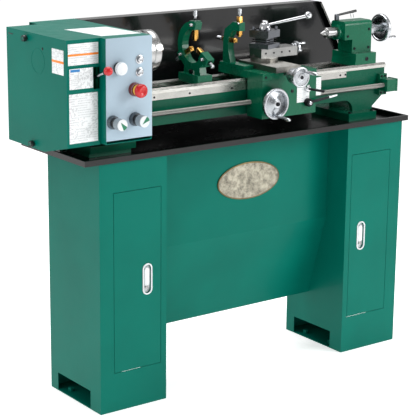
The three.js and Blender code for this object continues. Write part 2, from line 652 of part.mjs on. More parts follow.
function tailstockGroup() {
  const group = new THREE.Group();
  const { nose, left, lowerLeft, right, half, baseTop } = tail;
  const centre = [axisY, axisZ];

  const base = fitOverWays(prism('y', [
    [483, 944], [487, 966], [487, baseTop], [576, baseTop], [576, 944]], 98, 216));
  group.add(meshOf('tailstock_base', base, 'green'));

  const barrel = prism('x', [
    [axisY - half, 1030], [axisY + half, 1030], ...arc(12, [axisY + half - 12, 1078], 0, 90, 4),
    ...arc(12, [axisY - half + 12, 1078], 90, 180, 4)], left + 12, right);
  const body = cut(
    join(
      barrel,
      rod('x', 25, centre, left, left + 20),
      box(lowerLeft, right, axisY - half, axisY + half, baseTop + GAP, 1031)),
    rod('x', 17.5, centre, left - 1, right + 1));
  group.add(meshOf('tailstock_body', body, 'green'));

  const quill = rod('x', 17, centre, nose, right - 12);
  const quillBody = cut(
    quill, rod('x', 9, centre, nose - 1, nose + 66), rod('x', 8, centre, right - 95, right));
  group.add(meshOf('quill', quillBody, 'chrome'));

  const tipX = nose - 21;
  const point = new THREE.LatheGeometry([
    [0, 0], [9, 15], [9, 18], [13, 18], [13, 20.6], [8.5, 20.6], [8.5, 60], [0, 60],
  ].map(([radius, along]) => new THREE.Vector2(radius, along)), 20);
  point.rotateZ(-Math.PI / 2);
  point.translate(tipX, axisY, axisZ);
  group.add(meshOf('live_centre', solidOf(point), 'steel'));

  const wheel = join(
    steppedRod('x', centre, [[7, right - 70, right + 1], [16, right + GAP, right + 44], [10, right + 40, 672]]),
    tube('x', 47, 38, centre, tail.wheelX, tail.wheelX + 14, 24),
    rod('x', 39, centre, tail.wheelX + 2, tail.wheelX + 7, 24),
    rod('x', 6, [axisY - 26, axisZ - 31], tail.wheelX + 5, 692, 12));
  group.add(meshOf('tailstock_handwheel', wheel, 'chrome'));

  const lockZ = 1090 + GAP;
  const lock = join(
    rod('z', 8, [463, axisY + 15], lockZ, lockZ + 20, 16),
    bar(4.5, [463, axisY + 15, lockZ + 16], [543, axisY + 9, lockZ + 27]));
  group.add(meshOf('quill_lock_lever', lock, 'iron'));
  return group;
}

// ---------------------------------------------------------------- whole machine

const lathe = new THREE.Group();
lathe.add(
  standGroup(), bedGroup(), headstockGroup(), controlGroup(), chuckGroup(), steadyRestGroup(),
  followRestGroup(), carriageGroup(), tailstockGroup());

// The origin is under the middle of the whole machine, on the floor.
const extent = new THREE.Box3().setFromObject(lathe);
lathe.position.x = -(extent.min.x + extent.max.x) / 2;
lathe.position.y = -(extent.min.y + extent.max.y) / 2;

export default lathe;
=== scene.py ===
"""A metal lathe on a two-cabinet stand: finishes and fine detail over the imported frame."""
import logging
import math
from dataclasses import dataclass, field
from enum import Enum

import bmesh
import bpy
from mathutils import Matrix, Vector


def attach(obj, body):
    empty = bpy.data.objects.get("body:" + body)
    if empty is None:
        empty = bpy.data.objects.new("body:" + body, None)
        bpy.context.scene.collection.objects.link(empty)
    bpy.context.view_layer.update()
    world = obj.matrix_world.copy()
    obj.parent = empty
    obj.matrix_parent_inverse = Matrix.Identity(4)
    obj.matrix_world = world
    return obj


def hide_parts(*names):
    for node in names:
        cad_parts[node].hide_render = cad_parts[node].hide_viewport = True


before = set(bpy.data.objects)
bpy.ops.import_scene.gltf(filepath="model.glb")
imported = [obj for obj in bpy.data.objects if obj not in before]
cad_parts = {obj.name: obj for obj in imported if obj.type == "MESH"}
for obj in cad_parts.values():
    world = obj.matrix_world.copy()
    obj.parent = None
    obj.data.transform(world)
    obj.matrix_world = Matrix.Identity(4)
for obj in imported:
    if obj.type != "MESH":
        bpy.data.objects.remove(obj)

logging.basicConfig(level=logging.INFO, format="%(levelname)s %(message)s")
LOG = logging.getLogger("lathe")

# Machine datum, in millimetres: x along the bed, y = 0 at the cabinet fronts, z = 0 on the floor.
DATUM = Vector((-1.0, -133.3, 0.0))
AXIS_Y = 157.0
AXIS_Z = 1054.0
SPINDLE_LINE = (0, AXIS_Y, AXIS_Z)
SHARP_EDGE = math.radians(32)


class Axis(Enum):
    """The direction that a turned or extruded solid runs along."""

    X = Matrix(((0, 0, 1), (1, 0, 0), (0, 1, 0))).to_4x4()
    Y = Matrix(((1, 0, 0), (0, 0, 1), (0, -1, 0))).to_4x4() @ Matrix.Scale(-1, 4, (0, 1, 0))
    Z = Matrix.Identity(4)


def linear(red: int, green: int, blue: int) -> tuple[float, float, float, float]:
    """Turns a display colour into the linear colour that shaders use.

    Args:
        red: The red channel, 0 to 255.
        green: The green channel, 0 to 255.
        blue: The blue channel, 0 to 255.

    Returns:
        The linear channels, with alpha 1.
    """
    channels = []
    for value in (red, green, blue):
        level = value / 255
        channels.append(level / 12.92 if level <= 0.04045 else ((level + 0.055) / 1.055) ** 2.4)
    return (*channels, 1.0)


def darker(color: tuple, share: float) -> tuple[float, float, float, float]:
    """A colour with its channels cut to a share of their level."""
    return (*(channel * share for channel in color[:3]), 1.0)


# ---------------------------------------------------------------- shader graph


@dataclass
class Wire:
    """One output socket, with arithmetic that adds Math nodes."""

    graph: "Graph"
    socket: bpy.types.NodeSocket

    def math(self, operation: str, other: "Wire | float | None" = None, swap: bool = False) -> "Wire":
        """Adds a Math node on this wire.

        Args:
            operation: The Math node's operation.
            other: The second operand, if the operation takes one.
            swap: True to put the other operand first.

        Returns:
            The Math node's output.
        """
        operands = [self] if other is None else [self, other]
        if swap:
            operands.reverse()
        return self.graph.add("ShaderNodeMath", {"operation": operation}, dict(enumerate(operands)))

    def __add__(self, other: "Wire | float") -> "Wire":
        """Sum."""
        return self.math("ADD", other)

    def __mul__(self, other: "Wire | float") -> "Wire":
        """Product."""
        return self.math("MULTIPLY", other)

    def __sub__(self, other: "Wire | float") -> "Wire":
        """Difference."""
        return self.math("SUBTRACT", other)

    def __rsub__(self, other: float) -> "Wire":
        """Difference from a number."""
        return self.math("SUBTRACT", other, swap=True)

    def __gt__(self, other: "Wire | float") -> "Wire":
        """1 where this is greater."""
        return self.math("GREATER_THAN", other)

    def __lt__(self, other: "Wire | float") -> "Wire":
        """1 where this is less."""
        return self.math("LESS_THAN", other)

    def within(self, low: float, high: float) -> "Wire":
        """1 between two levels."""
        return (self > low) * (self < high)


class Graph:
    """The node tree of one material."""

    def __init__(self, name: str) -> None:
        """Starts a material with an empty tree."""
        self.material = bpy.data.materials.new(name)
        self.material.use_nodes = True
        self.tree = self.material.node_tree
        self.tree.nodes.clear()

    def add(
        self, kind: str, settings: dict | None = None, inputs: dict | None = None, out: int | str = 0,
    ) -> Wire:
        """Adds one node.

        Args:
            kind: The node type.
            settings: Properties to set on it.
            inputs: Socket name or index to a Wire or a plain value.
            out: The output to return.

        Returns:
            That output as a Wire.
        """
        node = self.tree.nodes.new(kind)
        for key, value in (settings or {}).items():
            setattr(node, key, value)
        for key, value in (inputs or {}).items():
            if isinstance(value, Wire):
                self.tree.links.new(value.socket, node.inputs[key])
            else:
                node.inputs[key].default_value = value
        return Wire(self, node.outputs[out])

    def where(self) -> Wire:
        """Object coordinates, in metres of the machine's own frame."""
        return self.add("ShaderNodeTexCoord", out="Object")

    def split(self, vector: Wire) -> list[Wire]:
        """The X, Y and Z of a vector."""
        parts = self.add("ShaderNodeSeparateXYZ", inputs={0: vector})
        return [Wire(self, socket) for socket in parts.socket.node.outputs]

    def noise(self, scale: float, detail: float = 3.0, stretch: tuple = (1, 1, 1)) -> Wire:
        """Noise over the object, from 0 to 1, stretched along an axis if asked."""
        spread = self.add("ShaderNodeVectorMath", {"operation": "MULTIPLY"}, {0: self.where(), 1: stretch})
        return self.add("ShaderNodeTexNoise", inputs={"Vector": spread, "Scale": scale, "Detail": detail})

    def blend(self, factor: Wire, first: "Wire | tuple", second: "Wire | tuple") -> Wire:
        """Mixes two colours."""
        return self.add("ShaderNodeMix", {"data_type": "RGBA"}, {0: factor, 6: first, 7: second}, out=2)

    def ramp(self, value: Wire, low: float, high: float) -> Wire:
        """Maps a range to 0 to 1, clamped."""
        return self.add("ShaderNodeMapRange", inputs={"Value": value, "From Min": low, "From Max": high})

    def vary(self, value: Wire, spread: float, base: float) -> Wire:
        """A level that rises from a base by a spread as a noise value rises."""
        return self.ramp(value, 0.3, 0.7) * spread + base

    def cells(self, across: Wire, up: Wire, share: float) -> Wire:
        """1 in a random share of the unit cells of a grid."""
        cell = self.add("ShaderNodeCombineXYZ", inputs={0: across.math("FLOOR"), 1: up.math("FLOOR")})
        chance = self.add("ShaderNodeTexWhiteNoise", {"noise_dimensions": "2D"}, {"Vector": cell})
        return chance > 1.0 - share

    def bump(self, height: Wire, strength: float, distance: float) -> Wire:
        """A normal from a height."""
        levels = {"Height": height, "Strength": strength, "Distance": distance}
        return self.add("ShaderNodeBump", inputs=levels)

    def close(self, **sockets: "Wire | float | tuple") -> bpy.types.Material:
        """Adds the surface shader and the output.

        Args:
            sockets: The shader's inputs, with underscores for the spaces in their names.

        Returns:
            The finished material.
        """
        named = {key.replace("_", " "): value for key, value in sockets.items()}
        surface = self.add("ShaderNodeBsdfPrincipled", inputs=named)
        output = self.tree.nodes.new("ShaderNodeOutputMaterial")
        self.tree.links.new(surface.socket, output.inputs[0])
        return self.material


# ---------------------------------------------------------------- finishes


@dataclass(frozen=True)
class Enamel:
    """Sprayed gloss paint on steel or iron, with orange peel and faint dust."""

    name: str
    color: tuple
    roughness: float = 0.3
    peel: float = 0.06
    grain: float = 380.0
    shine: float = 0.08
    coat: float = 0.03

    def build(self) -> bpy.types.Material:
        """Returns the material."""
        graph = Graph(self.name)
        cloud = graph.noise(4.0)
        shade = darker(self.color, 0.86)
        color = graph.blend(graph.ramp(cloud, 0.35, 0.65), shade, self.color)
        rough = graph.vary(graph.noise(28.0), 0.08, self.roughness)
        normal = graph.bump(graph.noise(self.grain, 2.0), self.peel, 0.001)
        return graph.close(
            Base_Color=color, Roughness=rough, Normal=normal, Specular_IOR_Level=self.shine,
            Coat_Weight=self.coat, Coat_Roughness=0.08)


@dataclass(frozen=True)
class Metal:
    """Bare metal with fine cutting marks and stains."""

    name: str
    color: tuple
    roughness: float = 0.28
    stretch: tuple = (1, 12, 12)
    marks: float = 220.0
    mottle: float = 0.12
    strength: float = 0.08

    def build(self) -> bpy.types.Material:
        """Returns the material."""
        graph = Graph(self.name)
        streak = graph.noise(self.marks, 4.0, self.stretch)
        cloud = graph.noise(18.0)
        dark = darker(self.color, 1 - self.mottle * 2.5)
        color = graph.blend(graph.ramp(cloud + streak, 0.7, 1.25), dark, self.color)
        rough = graph.vary(streak, 0.16, self.roughness - 0.06)
        normal = graph.bump(streak, self.strength, 0.0006)
        return graph.close(Base_Color=color, Metallic=1.0, Roughness=rough, Normal=normal)


@dataclass(frozen=True)
class Thread(Metal):
    """Bare metal rod with a screw thread along X, its grooves painted darker as painted shade."""

    pitch: float = 0.003

    def build(self) -> bpy.types.Material:
        """Returns the material."""
        graph = Graph(self.name)
        x, _, _ = graph.split(graph.where())
        wave = (x * (2 * math.pi / self.pitch)).math("SINE")
        # The grooves of the thread are painted a darker grey: painted shade in the grooves.
        color = graph.blend(graph.ramp(wave, -1.0, 0.4), linear(70, 70, 70), self.color)
        rough = graph.vary(graph.noise(60.0), 0.1, self.roughness)
        normal = graph.bump(wave, 0.5, 0.0008)
        return graph.close(Base_Color=color, Metallic=1.0, Roughness=rough, Normal=normal)


@dataclass(frozen=True)
class Plastic:
    """Moulded plastic with a slight texture."""

    name: str
    color: tuple
    roughness: float = 0.3
    grain: float = 900.0

    def build(self) -> bpy.types.Material:
        """Returns the material."""
        graph = Graph(self.name)
        cloud = graph.noise(40.0)
        shade = darker(self.color, 0.85)
        color = graph.blend(graph.ramp(cloud, 0.3, 0.7), shade, self.color)
        rough = graph.vary(cloud, 0.1, self.roughness)
        normal = graph.bump(graph.noise(self.grain, 2.0), 0.05, 0.0005)
        return graph.close(Base_Color=color, Roughness=rough, Normal=normal, Coat_Weight=0.2)


@dataclass(frozen=True)
class BedPaint:
    """Green cast iron whose ground ways show bare steel above a level."""

    name: str
    color: tuple
    level: float

    def build(self) -> bpy.types.Material:
        """Returns the material."""
        graph = Graph(self.name)
        _, _, z = graph.split(graph.where())
        bare = z > self.level
        streak = graph.noise(160.0, 4.0, (0.4, 14, 14))
        steel = graph.blend(graph.ramp(streak, 0.3, 0.7), linear(176, 174, 168), linear(236, 235, 230))
        cloud = graph.noise(5.0)
        shade = darker(self.color, 0.82)
        paint = graph.blend(graph.ramp(cloud, 0.35, 0.65), shade, self.color)
        color = graph.blend(bare, paint, steel)
        rough = graph.vary(streak, 0.12, 0.2)
        cast = graph.noise(240.0, 3.0) * (1.0 - bare) + streak * bare * 0.4
        normal = graph.bump(cast, 0.12, 0.001)
        return graph.close(
            Base_Color=color, Metallic=bare, Roughness=rough, Specular_IOR_Level=0.2, Normal=normal)


class Plane(Enum):
    """Which two directions a printed label lies along."""

    FRONT = (0, 2)
    SIDE = (1, 2)
    TOP = (0, 1)


@dataclass(frozen=True)
class Label:
    """A white printed label: grey rules in place of words, with a coloured band."""

    name: str
    plane: Plane
    rows: float
    band: tuple | None = None
    band_color: tuple = (1.0, 0.25, 0.02, 1.0)
    words: float = 95.0
    figures: tuple = (42.0, 34.0)

    def build(self) -> bpy.types.Material:
        """Returns the material."""
        graph = Graph(self.name)
        parts = graph.split(graph.where())
        across, up = (parts[index] for index in self.plane.value)
        line = (up * self.rows).math("FRACT") > 0.45
        printed = graph.cells(across * self.words, up * self.rows, 0.7)
        figure = graph.cells(across * self.figures[0], up * self.figures[1], 0.2)
        letters = graph.add("ShaderNodeTexNoise", inputs={"Vector": graph.where(), "Scale": 900.0}) > 0.45
        sketch = (graph.noise(170.0, 4.0) > 0.52) * figure
        ink = line * printed * letters * (1.0 - figure) * 0.3 + sketch * 0.25
        color = graph.blend(ink, linear(238, 241, 242), linear(64, 72, 78))
        if self.band:
            color = graph.blend(up.within(*self.band), color, self.band_color)
        rough = graph.noise(50.0) * 0.15 + 0.3
        normal = graph.bump(graph.noise(600.0), 0.03, 0.0004)
        return graph.close(Base_Color=color, Roughness=rough, Normal=normal)


@dataclass(frozen=True)
class AgedPlate:
    """A cast plaque of grey metal with an uneven worn field."""

    name: str

    def build(self) -> bpy.types.Material:
        """Returns the material."""
        graph = Graph(self.name)
        relief = graph.noise(55.0, 8.0)
        fine = graph.noise(210.0, 5.0)
        worn = graph.ramp(relief + fine * 0.6, 0.55, 1.0)
        color = graph.blend(worn, linear(92, 88, 76), linear(190, 184, 165))
        rough = graph.vary(fine, 0.25, 0.35)
        normal = graph.bump(relief + fine * 0.4, 0.6, 0.003)
        return graph.close(Base_Color=color, Metallic=0.35, Roughness=rough, Normal=normal)


class Paints:
    """Every material of the machine, built once."""

    def __init__(self) -> None:
        """Builds the materials."""
        finishes = {
            "green": Enamel("green_enamel", linear(0, 110, 95), 0.3),
            "cast_green": Enamel("cast_green_enamel", linear(0, 94, 66), 0.22, 0.2, 160.0, 0.25, 0.18),
            "black": Enamel("black_enamel", linear(10, 10, 12), 0.16, 0.03, 380.0, 0.4, 0.4),
            "tray_black": Enamel("black_tray_enamel", linear(12, 11, 12), 0.2, 0.05, 380.0, 0.3, 0.2),
            "panel": Enamel("panel_grey", linear(176, 196, 210), 0.42, 0.12, 700.0),
            "bed": BedPaint("bed_green_and_ways", linear(0, 92, 68), 0.9325),
            "steel": Metal("ground_steel", linear(196, 195, 190), 0.26),
            "cross_steel": Metal("ground_steel_across", linear(150, 148, 142), 0.32, (12, 1, 12)),
            "compound": Metal("compound_steel", linear(160, 160, 158), 0.3, (1, 12, 12)),
            "dish": Metal("wheel_dish_alloy", linear(170, 174, 178), 0.2, (1, 1, 1), 200.0, 0.05, 0.04),
            "turned": Metal("turned_steel", linear(178, 178, 177), 0.22, (1, 14, 14), 180.0, 0.06),
            "chrome": Metal("bright_chrome", linear(204, 206, 209), 0.1, (1, 1, 1), 90.0, 0.03, 0.02),
            "alloy": Metal("polished_alloy", linear(192, 195, 199), 0.24, (1, 1, 1), 260.0, 0.04, 0.05),
            "iron": Metal("blacked_steel", linear(122, 125, 131), 0.3, (1, 1, 6), 140.0, 0.1),
            "dark": Metal("dark_screw_steel", linear(44, 45, 48), 0.38, (1, 1, 1), 200.0, 0.1),
            "brass": Metal("machined_brass", linear(222, 170, 88), 0.24, (1, 1, 1), 220.0, 0.1),
            "rim": Metal("aged_plaque_rim", linear(132, 116, 84), 0.36, (1, 1, 1), 180.0, 0.2),
            "thread": Thread("threaded_steel", linear(200, 198, 192), 0.3),
            "white": Plastic("white_plastic", linear(232, 236, 238), 0.25),
            "grey": Plastic("grey_plastic", linear(138, 150, 158), 0.3),
            "slate": Plastic("slate_plastic", linear(66, 78, 88), 0.3),
            "black_plastic": Plastic("black_plastic", linear(24, 24, 26), 0.36),
            "red": Plastic("red_plastic", linear(200, 16, 24), 0.18),
            "dark_red": Plastic("dark_red_plastic", linear(110, 14, 20), 0.3),
            "yellow": Plastic("yellow_plastic", linear(232, 186, 60), 0.35),
            "marker": Plastic("green_marker", linear(0, 120, 84), 0.35),
            "rubber": Plastic("belt_rubber", linear(26, 26, 26), 0.75, 300.0),
            "blue_print": Plastic("blue_print", linear(30, 130, 200), 0.4),
            "plaque": AgedPlate("aged_plaque"),
            "label_top": Label("label_machine", Plane.FRONT, 170.0, (1.0855, 1.0915)),
            "label_mid": Label("label_specification", Plane.FRONT, 190.0),
            "label_low": Label("label_chart", Plane.FRONT, 150.0),
            "label_side": Label("label_side", Plane.SIDE, 230.0, (1.063, 1.070)),
            "label_deck": Label("label_deck", Plane.TOP, 150.0),
            "label_feed": Label("label_feed", Plane.FRONT, 170.0),
        }
        self.table = {key: finish.build() for key, finish in finishes.items()}

    def __getitem__(self, key: str) -> bpy.types.Material:
        """The material of that name."""
        return self.table[key]


# ---------------------------------------------------------------- modelling


@dataclass
class Shape:
    """A piece being modelled, in millimetres from the machine datum."""

    paints: Paints
    mesh: bmesh.types.BMesh = field(default_factory=bmesh.new)
    finishes: list = field(default_factory=list)

    def _take(self, part: bmesh.types.BMesh, finish: str, matrix: Matrix | None) -> "Shape":
        """Adds a solid to the piece.

        Args:
            part: The solid, which is freed.
            finish: The finish's key.
            matrix: A move to make first, if any.

        Returns:
            This shape.
        """
        if finish not in self.finishes:
            self.finishes.append(finish)
        if matrix is not None:
            bmesh.ops.transform(part, matrix=matrix, verts=part.verts)
        bmesh.ops.recalc_face_normals(part, faces=part.faces)
        for face in part.faces:
            face.material_index = self.finishes.index(finish)
            face.smooth = True
        scratch = bpy.data.meshes.new("scratch")
        part.to_mesh(scratch)
        part.free()
        self.mesh.from_mesh(scratch)
        bpy.data.meshes.remove(scratch)
        return self

    def _round(self, part: bmesh.types.BMesh, bevel: float, sharp: float = 0.5) -> None:
        """Rounds the sharp edges of a solid.

        Args:
            part: The solid.
            bevel: The edge radius, or 0 to leave it alone.
            sharp: The angle between faces, in radians, above which an edge is rounded.
        """
        if bevel <= 0:
            return
        edges = [edge for edge in part.edges if edge.calc_face_angle(0) > sharp]
        bmesh.ops.bevel(
            part, geom=edges, offset=bevel, segments=2, profile=0.5, affect="EDGES", material=-1)

    def box(
        self, low: tuple, high: tuple, finish: str, bevel: float = 0.6, matrix: Matrix | None = None,
    ) -> "Shape":
        """A block with rounded edges.

        Args:
            low: Its lowest corner.
            high: Its highest corner.
            finish: The finish's key.
            bevel: The edge radius.
            matrix: A move to make afterwards.

        Returns:
            This shape.
        """
        part = bmesh.new()
        size = Vector(high) - Vector(low)
        middle = (Vector(high) + Vector(low)) / 2
        fit = Matrix.Translation(middle) @ Matrix.Diagonal((*size, 1))
        bmesh.ops.create_cube(part, size=1.0, matrix=fit)
        self._round(part, bevel)
        return self._take(part, finish, matrix)

    def turned(
        self, axis: Axis, centre: tuple, profile: list, finish: str, ring: bool = False,
        steps: int = 56, matrix: Matrix | None = None,
    ) -> "Shape":
        """A lathe-turned solid.

        Args:
            axis: The direction that it runs along.
            centre: A point on its axis.
            profile: (radius, distance along) pairs, from one end to the other.
            finish: The finish's key.
            ring: True if the profile closes on itself and the solid has a bore.
            steps: Facets round the axis.
            matrix: A move to make afterwards.

        Returns:
            This shape.
        """
        part = bmesh.new()
        points = list(profile)
        if not ring:
            points = [(0.0, points[0][1])] + points + [(0.0, points[-1][1])]
        verts = [part.verts.new((radius, 0, along)) for radius, along in points]
        edges = [part.edges.new(pair) for pair in zip(verts, verts[1:])]
        if ring:
            edges.append(part.edges.new((verts[-1], verts[0])))
        bmesh.ops.spin(
            part, geom=verts + edges, cent=(0, 0, 0), axis=(0, 0, 1), dvec=(0, 0, 0),
            angle=2 * math.pi, steps=steps, use_merge=True, use_duplicate=False)
        bmesh.ops.remove_doubles(part, verts=part.verts, dist=0.001)
        self._round(part, 0.25, 0.7)
        bmesh.ops.remove_doubles(part, verts=part.verts, dist=0.001)
        turn = Matrix.Translation(centre) @ axis.value
        return self._take(part, finish, turn if matrix is None else matrix @ turn)

    def prism(
        self, axis: Axis, outline: list, start: float, end: float, finish: str, bevel: float = 0.5,
    ) -> "Shape":
        """An outline extruded along an axis.

        Args:
            axis: The direction of the extrusion.
            outline: (y, z) for X, (x, z) for Y and (x, y) for Z.
            start: Where it starts.
            end: Where it ends.
            finish: The finish's key.
            bevel: The edge radius.

        Returns:
            This shape.
        """
        part = bmesh.new()
        at = {
            Axis.X: lambda u, v: (start, u, v),
            Axis.Y: lambda u, v: (u, start, v),
            Axis.Z: lambda u, v: (u, v, start),
        }[axis]
        along = {Axis.X: (1, 0, 0), Axis.Y: (0, 1, 0), Axis.Z: (0, 0, 1)}[axis]
        face = part.faces.new([part.verts.new(at(u, v)) for u, v in outline])
        grown = bmesh.ops.extrude_face_region(part, geom=[face])
        moved = [item for item in grown["geom"] if isinstance(item, bmesh.types.BMVert)]
        bmesh.ops.translate(part, vec=Vector(along) * (end - start), verts=moved)
        bmesh.ops.recalc_face_normals(part, faces=part.faces)
        self._round(part, bevel)
        return self._take(part, finish, None)

    def bar(self, start: tuple, end: tuple, radii: tuple, finish: str, steps: int = 32) -> "Shape":
        """A round bar between two points, tapering from one radius to another.

        Args:
            start: The middle of its first end.
            end: The middle of its last end.
            radii: Its radius at each end.
            finish: The finish's key.
            steps: Facets round the bar.

        Returns:
            This shape.
        """
        run = Vector(end) - Vector(start)
        turn = Matrix.Translation(start) @ run.to_track_quat("Z", "Y").to_matrix().to_4x4()
        first, last = radii
        soft = min(first, last) * 0.2
        profile = [
            (first - soft, 0), (first, soft), (last, run.length - soft), (last - soft, run.length)]
        return self.turned(Axis.Z, (0, 0, 0), profile, finish, steps=steps, matrix=turn)

    def ball(self, radius: float, centre: tuple, finish: str) -> "Shape":
        """A turned ball with a small flat at each pole, as on a lever's end.

        Args:
            radius: Its radius.
            centre: Its centre.
            finish: The finish's key.

        Returns:
            This shape.
        """
        profile = []
        for index in range(1, 16):
            angle = math.pi * index / 16
            profile.append((radius * math.sin(angle), -radius * math.cos(angle)))
        return self.turned(Axis.Z, centre, profile, finish, steps=40)

    def screw(self, axis: Axis, centre: tuple, radius: float, out: float) -> "Shape":
        """A dark socket-head screw.

        Args:
            axis: The direction that it runs along.
            centre: The middle of the head's underside.
            radius: The head's radius.
            out: How far the head stands out, below 0 if it faces down the axis.

        Returns:
            This shape.
        """
        socket = radius * 0.5
        profile = [
            (radius, 0), (radius, out * 0.85), (radius * 0.86, out), (socket, out), (socket, out * 0.5),
            (0.01, out * 0.5)]
        return self.turned(axis, centre, profile, "dark", steps=24)

    def carve(self, cutter: "Shape") -> "Shape":
        """Takes another shape's solids out of this one.

        Args:
            cutter: The shape to take out, which is used up.

        Returns:
            This shape.
        """
        body = self._object("carved")
        tool = cutter._object("cutter")
        modifier = body.modifiers.new("cut", "BOOLEAN")
        modifier.operation = "DIFFERENCE"
        modifier.object = tool
        modifier.solver = "EXACT"
        bpy.context.view_layer.update()
        solved = body.evaluated_get(bpy.context.evaluated_depsgraph_get())
        result = bpy.data.meshes.new_from_object(solved)
        self.mesh = bmesh.new()
        self.mesh.from_mesh(result)
        for item in (body, tool):
            bpy.data.objects.remove(item)
        return self

    def _object(self, name: str) -> bpy.types.Object:
        """Turns this shape's mesh into an object in the scene.

        Args:
            name: The object's name.

        Returns:
            The object.
        """
        data = bpy.data.meshes.new(name)
        self.mesh.to_mesh(data)
        self.mesh.free()
        thing = bpy.data.objects.new(name, data)
        bpy.context.scene.collection.objects.link(thing)
        return thing

    def place(self, name: str, body: str, node: str | None = None) -> None:
        """Puts the piece in the frame.

        Args:
            name: The piece's name.
            body: The body that it rides on.
            node: The CAD node that it stands for, if any.
        """
        scale = Matrix.Scale(0.001, 4) @ Matrix.Translation(DATUM)
        bmesh.ops.transform(self.mesh, matrix=scale, verts=self.mesh.verts)
        for edge in self.mesh.edges:
            edge.smooth = edge.calc_face_angle(0) < SHARP_EDGE
        thing = self._object(name)
        for finish in self.finishes:
            thing.data.materials.append(self.paints[finish])
        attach(thing, body)
        if node:
            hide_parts(node)
        LOG.info("piece %s: %d faces", name, len(thing.data.polygons))


def oval(radius_x: float, radius_z: float, centre: tuple, steps: int = 96) -> list:
    """The outline of an ellipse.

    Args:
        radius_x: Half its width.
        radius_z: Half its height.
        centre: Its centre.
        steps: How many points it has.

    Returns:
        The points.
    """
    angles = [2 * math.pi * step / steps for step in range(steps)]
    return [(centre[0] + radius_x * math.cos(a), centre[1] + radius_z * math.sin(a)) for a in angles]


def stadium(radius: float, straight: float, centre: tuple, steps: int = 20) -> list:
    """The outline of an upright slot with round ends.

    Args:
        radius: The radius of its ends.
        straight: Half the length of its straight sides.
        centre: Its centre.
        steps: How many facets each end has.

    Returns:
        The points.
    """
    points = []
    for offset, start in ((straight, 0.0), (-straight, math.pi)):
        middle = centre[1] + offset
        for step in range(steps + 1):
            angle = start + math.pi * step / steps
            points.append((centre[0] + radius * math.cos(angle), middle + radius * math.sin(angle)))
    return points


def about_spindle(angle: float, x: float = 0.0) -> Matrix:
    """Turns a piece made along +Y so that it points outwards from the spindle line at an angle."""
    return Matrix.Translation((x, AXIS_Y, AXIS_Z)) @ Matrix.Rotation(math.radians(angle), 4, "X")


@dataclass
class Assembly:
    """Pieces and CAD nodes that are built and finished together."""

    paints: Paints

    def shape(self) -> Shape:
        """Starts an empty piece."""
        return Shape(self.paints)

    def dress(self, node: str, finish: str, bevel: float) -> None:
        """Gives a carried CAD node its finish and softly rounded edges.

        Args:
            node: The node's name.
            finish: The finish's key.
            bevel: The edge radius in millimetres.
        """
        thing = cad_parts[node]
        if not thing.material_slots:
            thing.data.materials.append(self.paints[finish])
        for slot in thing.material_slots:
            slot.material = self.paints[finish]
        if bevel > 0:
            modifier = thing.modifiers.new("soft_edges", "BEVEL")
            modifier.width = bevel / 1000
            modifier.segments = 2
            modifier.limit_method = "ANGLE"
            modifier.angle_limit = math.radians(40)
            modifier.harden_normals = True
        LOG.info("dressed %s", node)


# ---------------------------------------------------------------- sub-assemblies


@dataclass
class Stand(Assembly):
    """Cabinets, doors, middle panel, plaque, tray and splash guard, with a painted highlight on the
    guard's edge.
    """

    pull_x: tuple = (-406.0, 446.5)
    pull_z: float = 397.0
    plaque_centre: tuple = (45.0, 620.0)
    guard_screws: tuple = tuple(range(-380, 600, 160))
    tray_screws: tuple = (-520, -390, 430, 560)
    # Ends of a bright steel bar along the splash guard's slanted edge, a painted highlight.
    guard_highlight_line: tuple = ((623.8, 330.1, 964.0), (529.0, 330.1, 1126.0))

    def build(self) -> None:
        """Makes the stand."""
        for node in ("left_cabinet", "right_cabinet", "left_door", "right_door", "centre_panel"):
            self.dress(node, "green", 1.2)
        self.dress("chip_tray", "tray_black", 0.8)
        self.dress("splash_guard", "black", 0.6)
        screws = self.shape()
        for x in self.guard_screws:
            screws.screw(Axis.Y, (x, 352.3, 780), 4.4, 2.6)
        for x in self.tray_screws:
            screws.screw(Axis.Z, (x, 8, 770.3), 4.4, 2.4)
        screws.place("tray_and_guard_screws", "stand_and_bed")
        # A bright steel bar on the splash guard's edge: a painted highlight where light catches the
        # guard's flange.
        edge = self.shape().bar(*self.guard_highlight_line, (1.5, 1.5), "steel")
        edge.place("guard_painted_highlight", "stand_and_bed")
        for side, x in zip(("left", "right"), self.pull_x):
            self._pull(side, x)
        self._plaque()

    def _pull(self, side: str, x: float) -> None:
        """The white flush pull of one door.

        Args:
            side: left or right.
            x: Its centre along the bed.
        """
        centre = (x, self.pull_z)
        rim = self.shape().prism(Axis.Y, stadium(17.2, 31.5, centre), -2.3, 1.0, "white", 0.7)
        hole = self.shape().prism(Axis.Y, stadium(13.2, 31.5, centre), -4.0, 4.0, "white", 0)
        rim.carve(hole)
        rim.prism(Axis.Y, stadium(13.3, 31.5, centre), 7.0, 8.8, "white", 0.3)
        rim.prism(Axis.Y, stadium(9.0, 20.0, (x, self.pull_z + 6)), 1.0, 7.4, "white", 1.2)
        rim.turned(Axis.Y, (x, 0, self.pull_z - 26), [(5.5, 1.0), (5.5, 7.5)], "turned", steps=32)
        rim.box((x - 0.7, 0.5, self.pull_z - 29), (x + 0.7, 1.4, self.pull_z - 23), "dark", 0.1)
        rim.place(f"{side}_door_pull", f"{side}_door")

    def _plaque(self) -> None:
        """The plain oval plaque with its raised rim."""
        centre = self.plaque_centre
        plate = self.shape().prism(Axis.Y, oval(123, 59.5, centre), 92.2, 95.4, "rim", 0.9)
        plate.prism(Axis.Y, oval(119, 55.5, centre), 91.6, 94.0, "plaque", 0.4)
        plate.place("plain_plaque", "stand_and_bed", "oval_plaque")


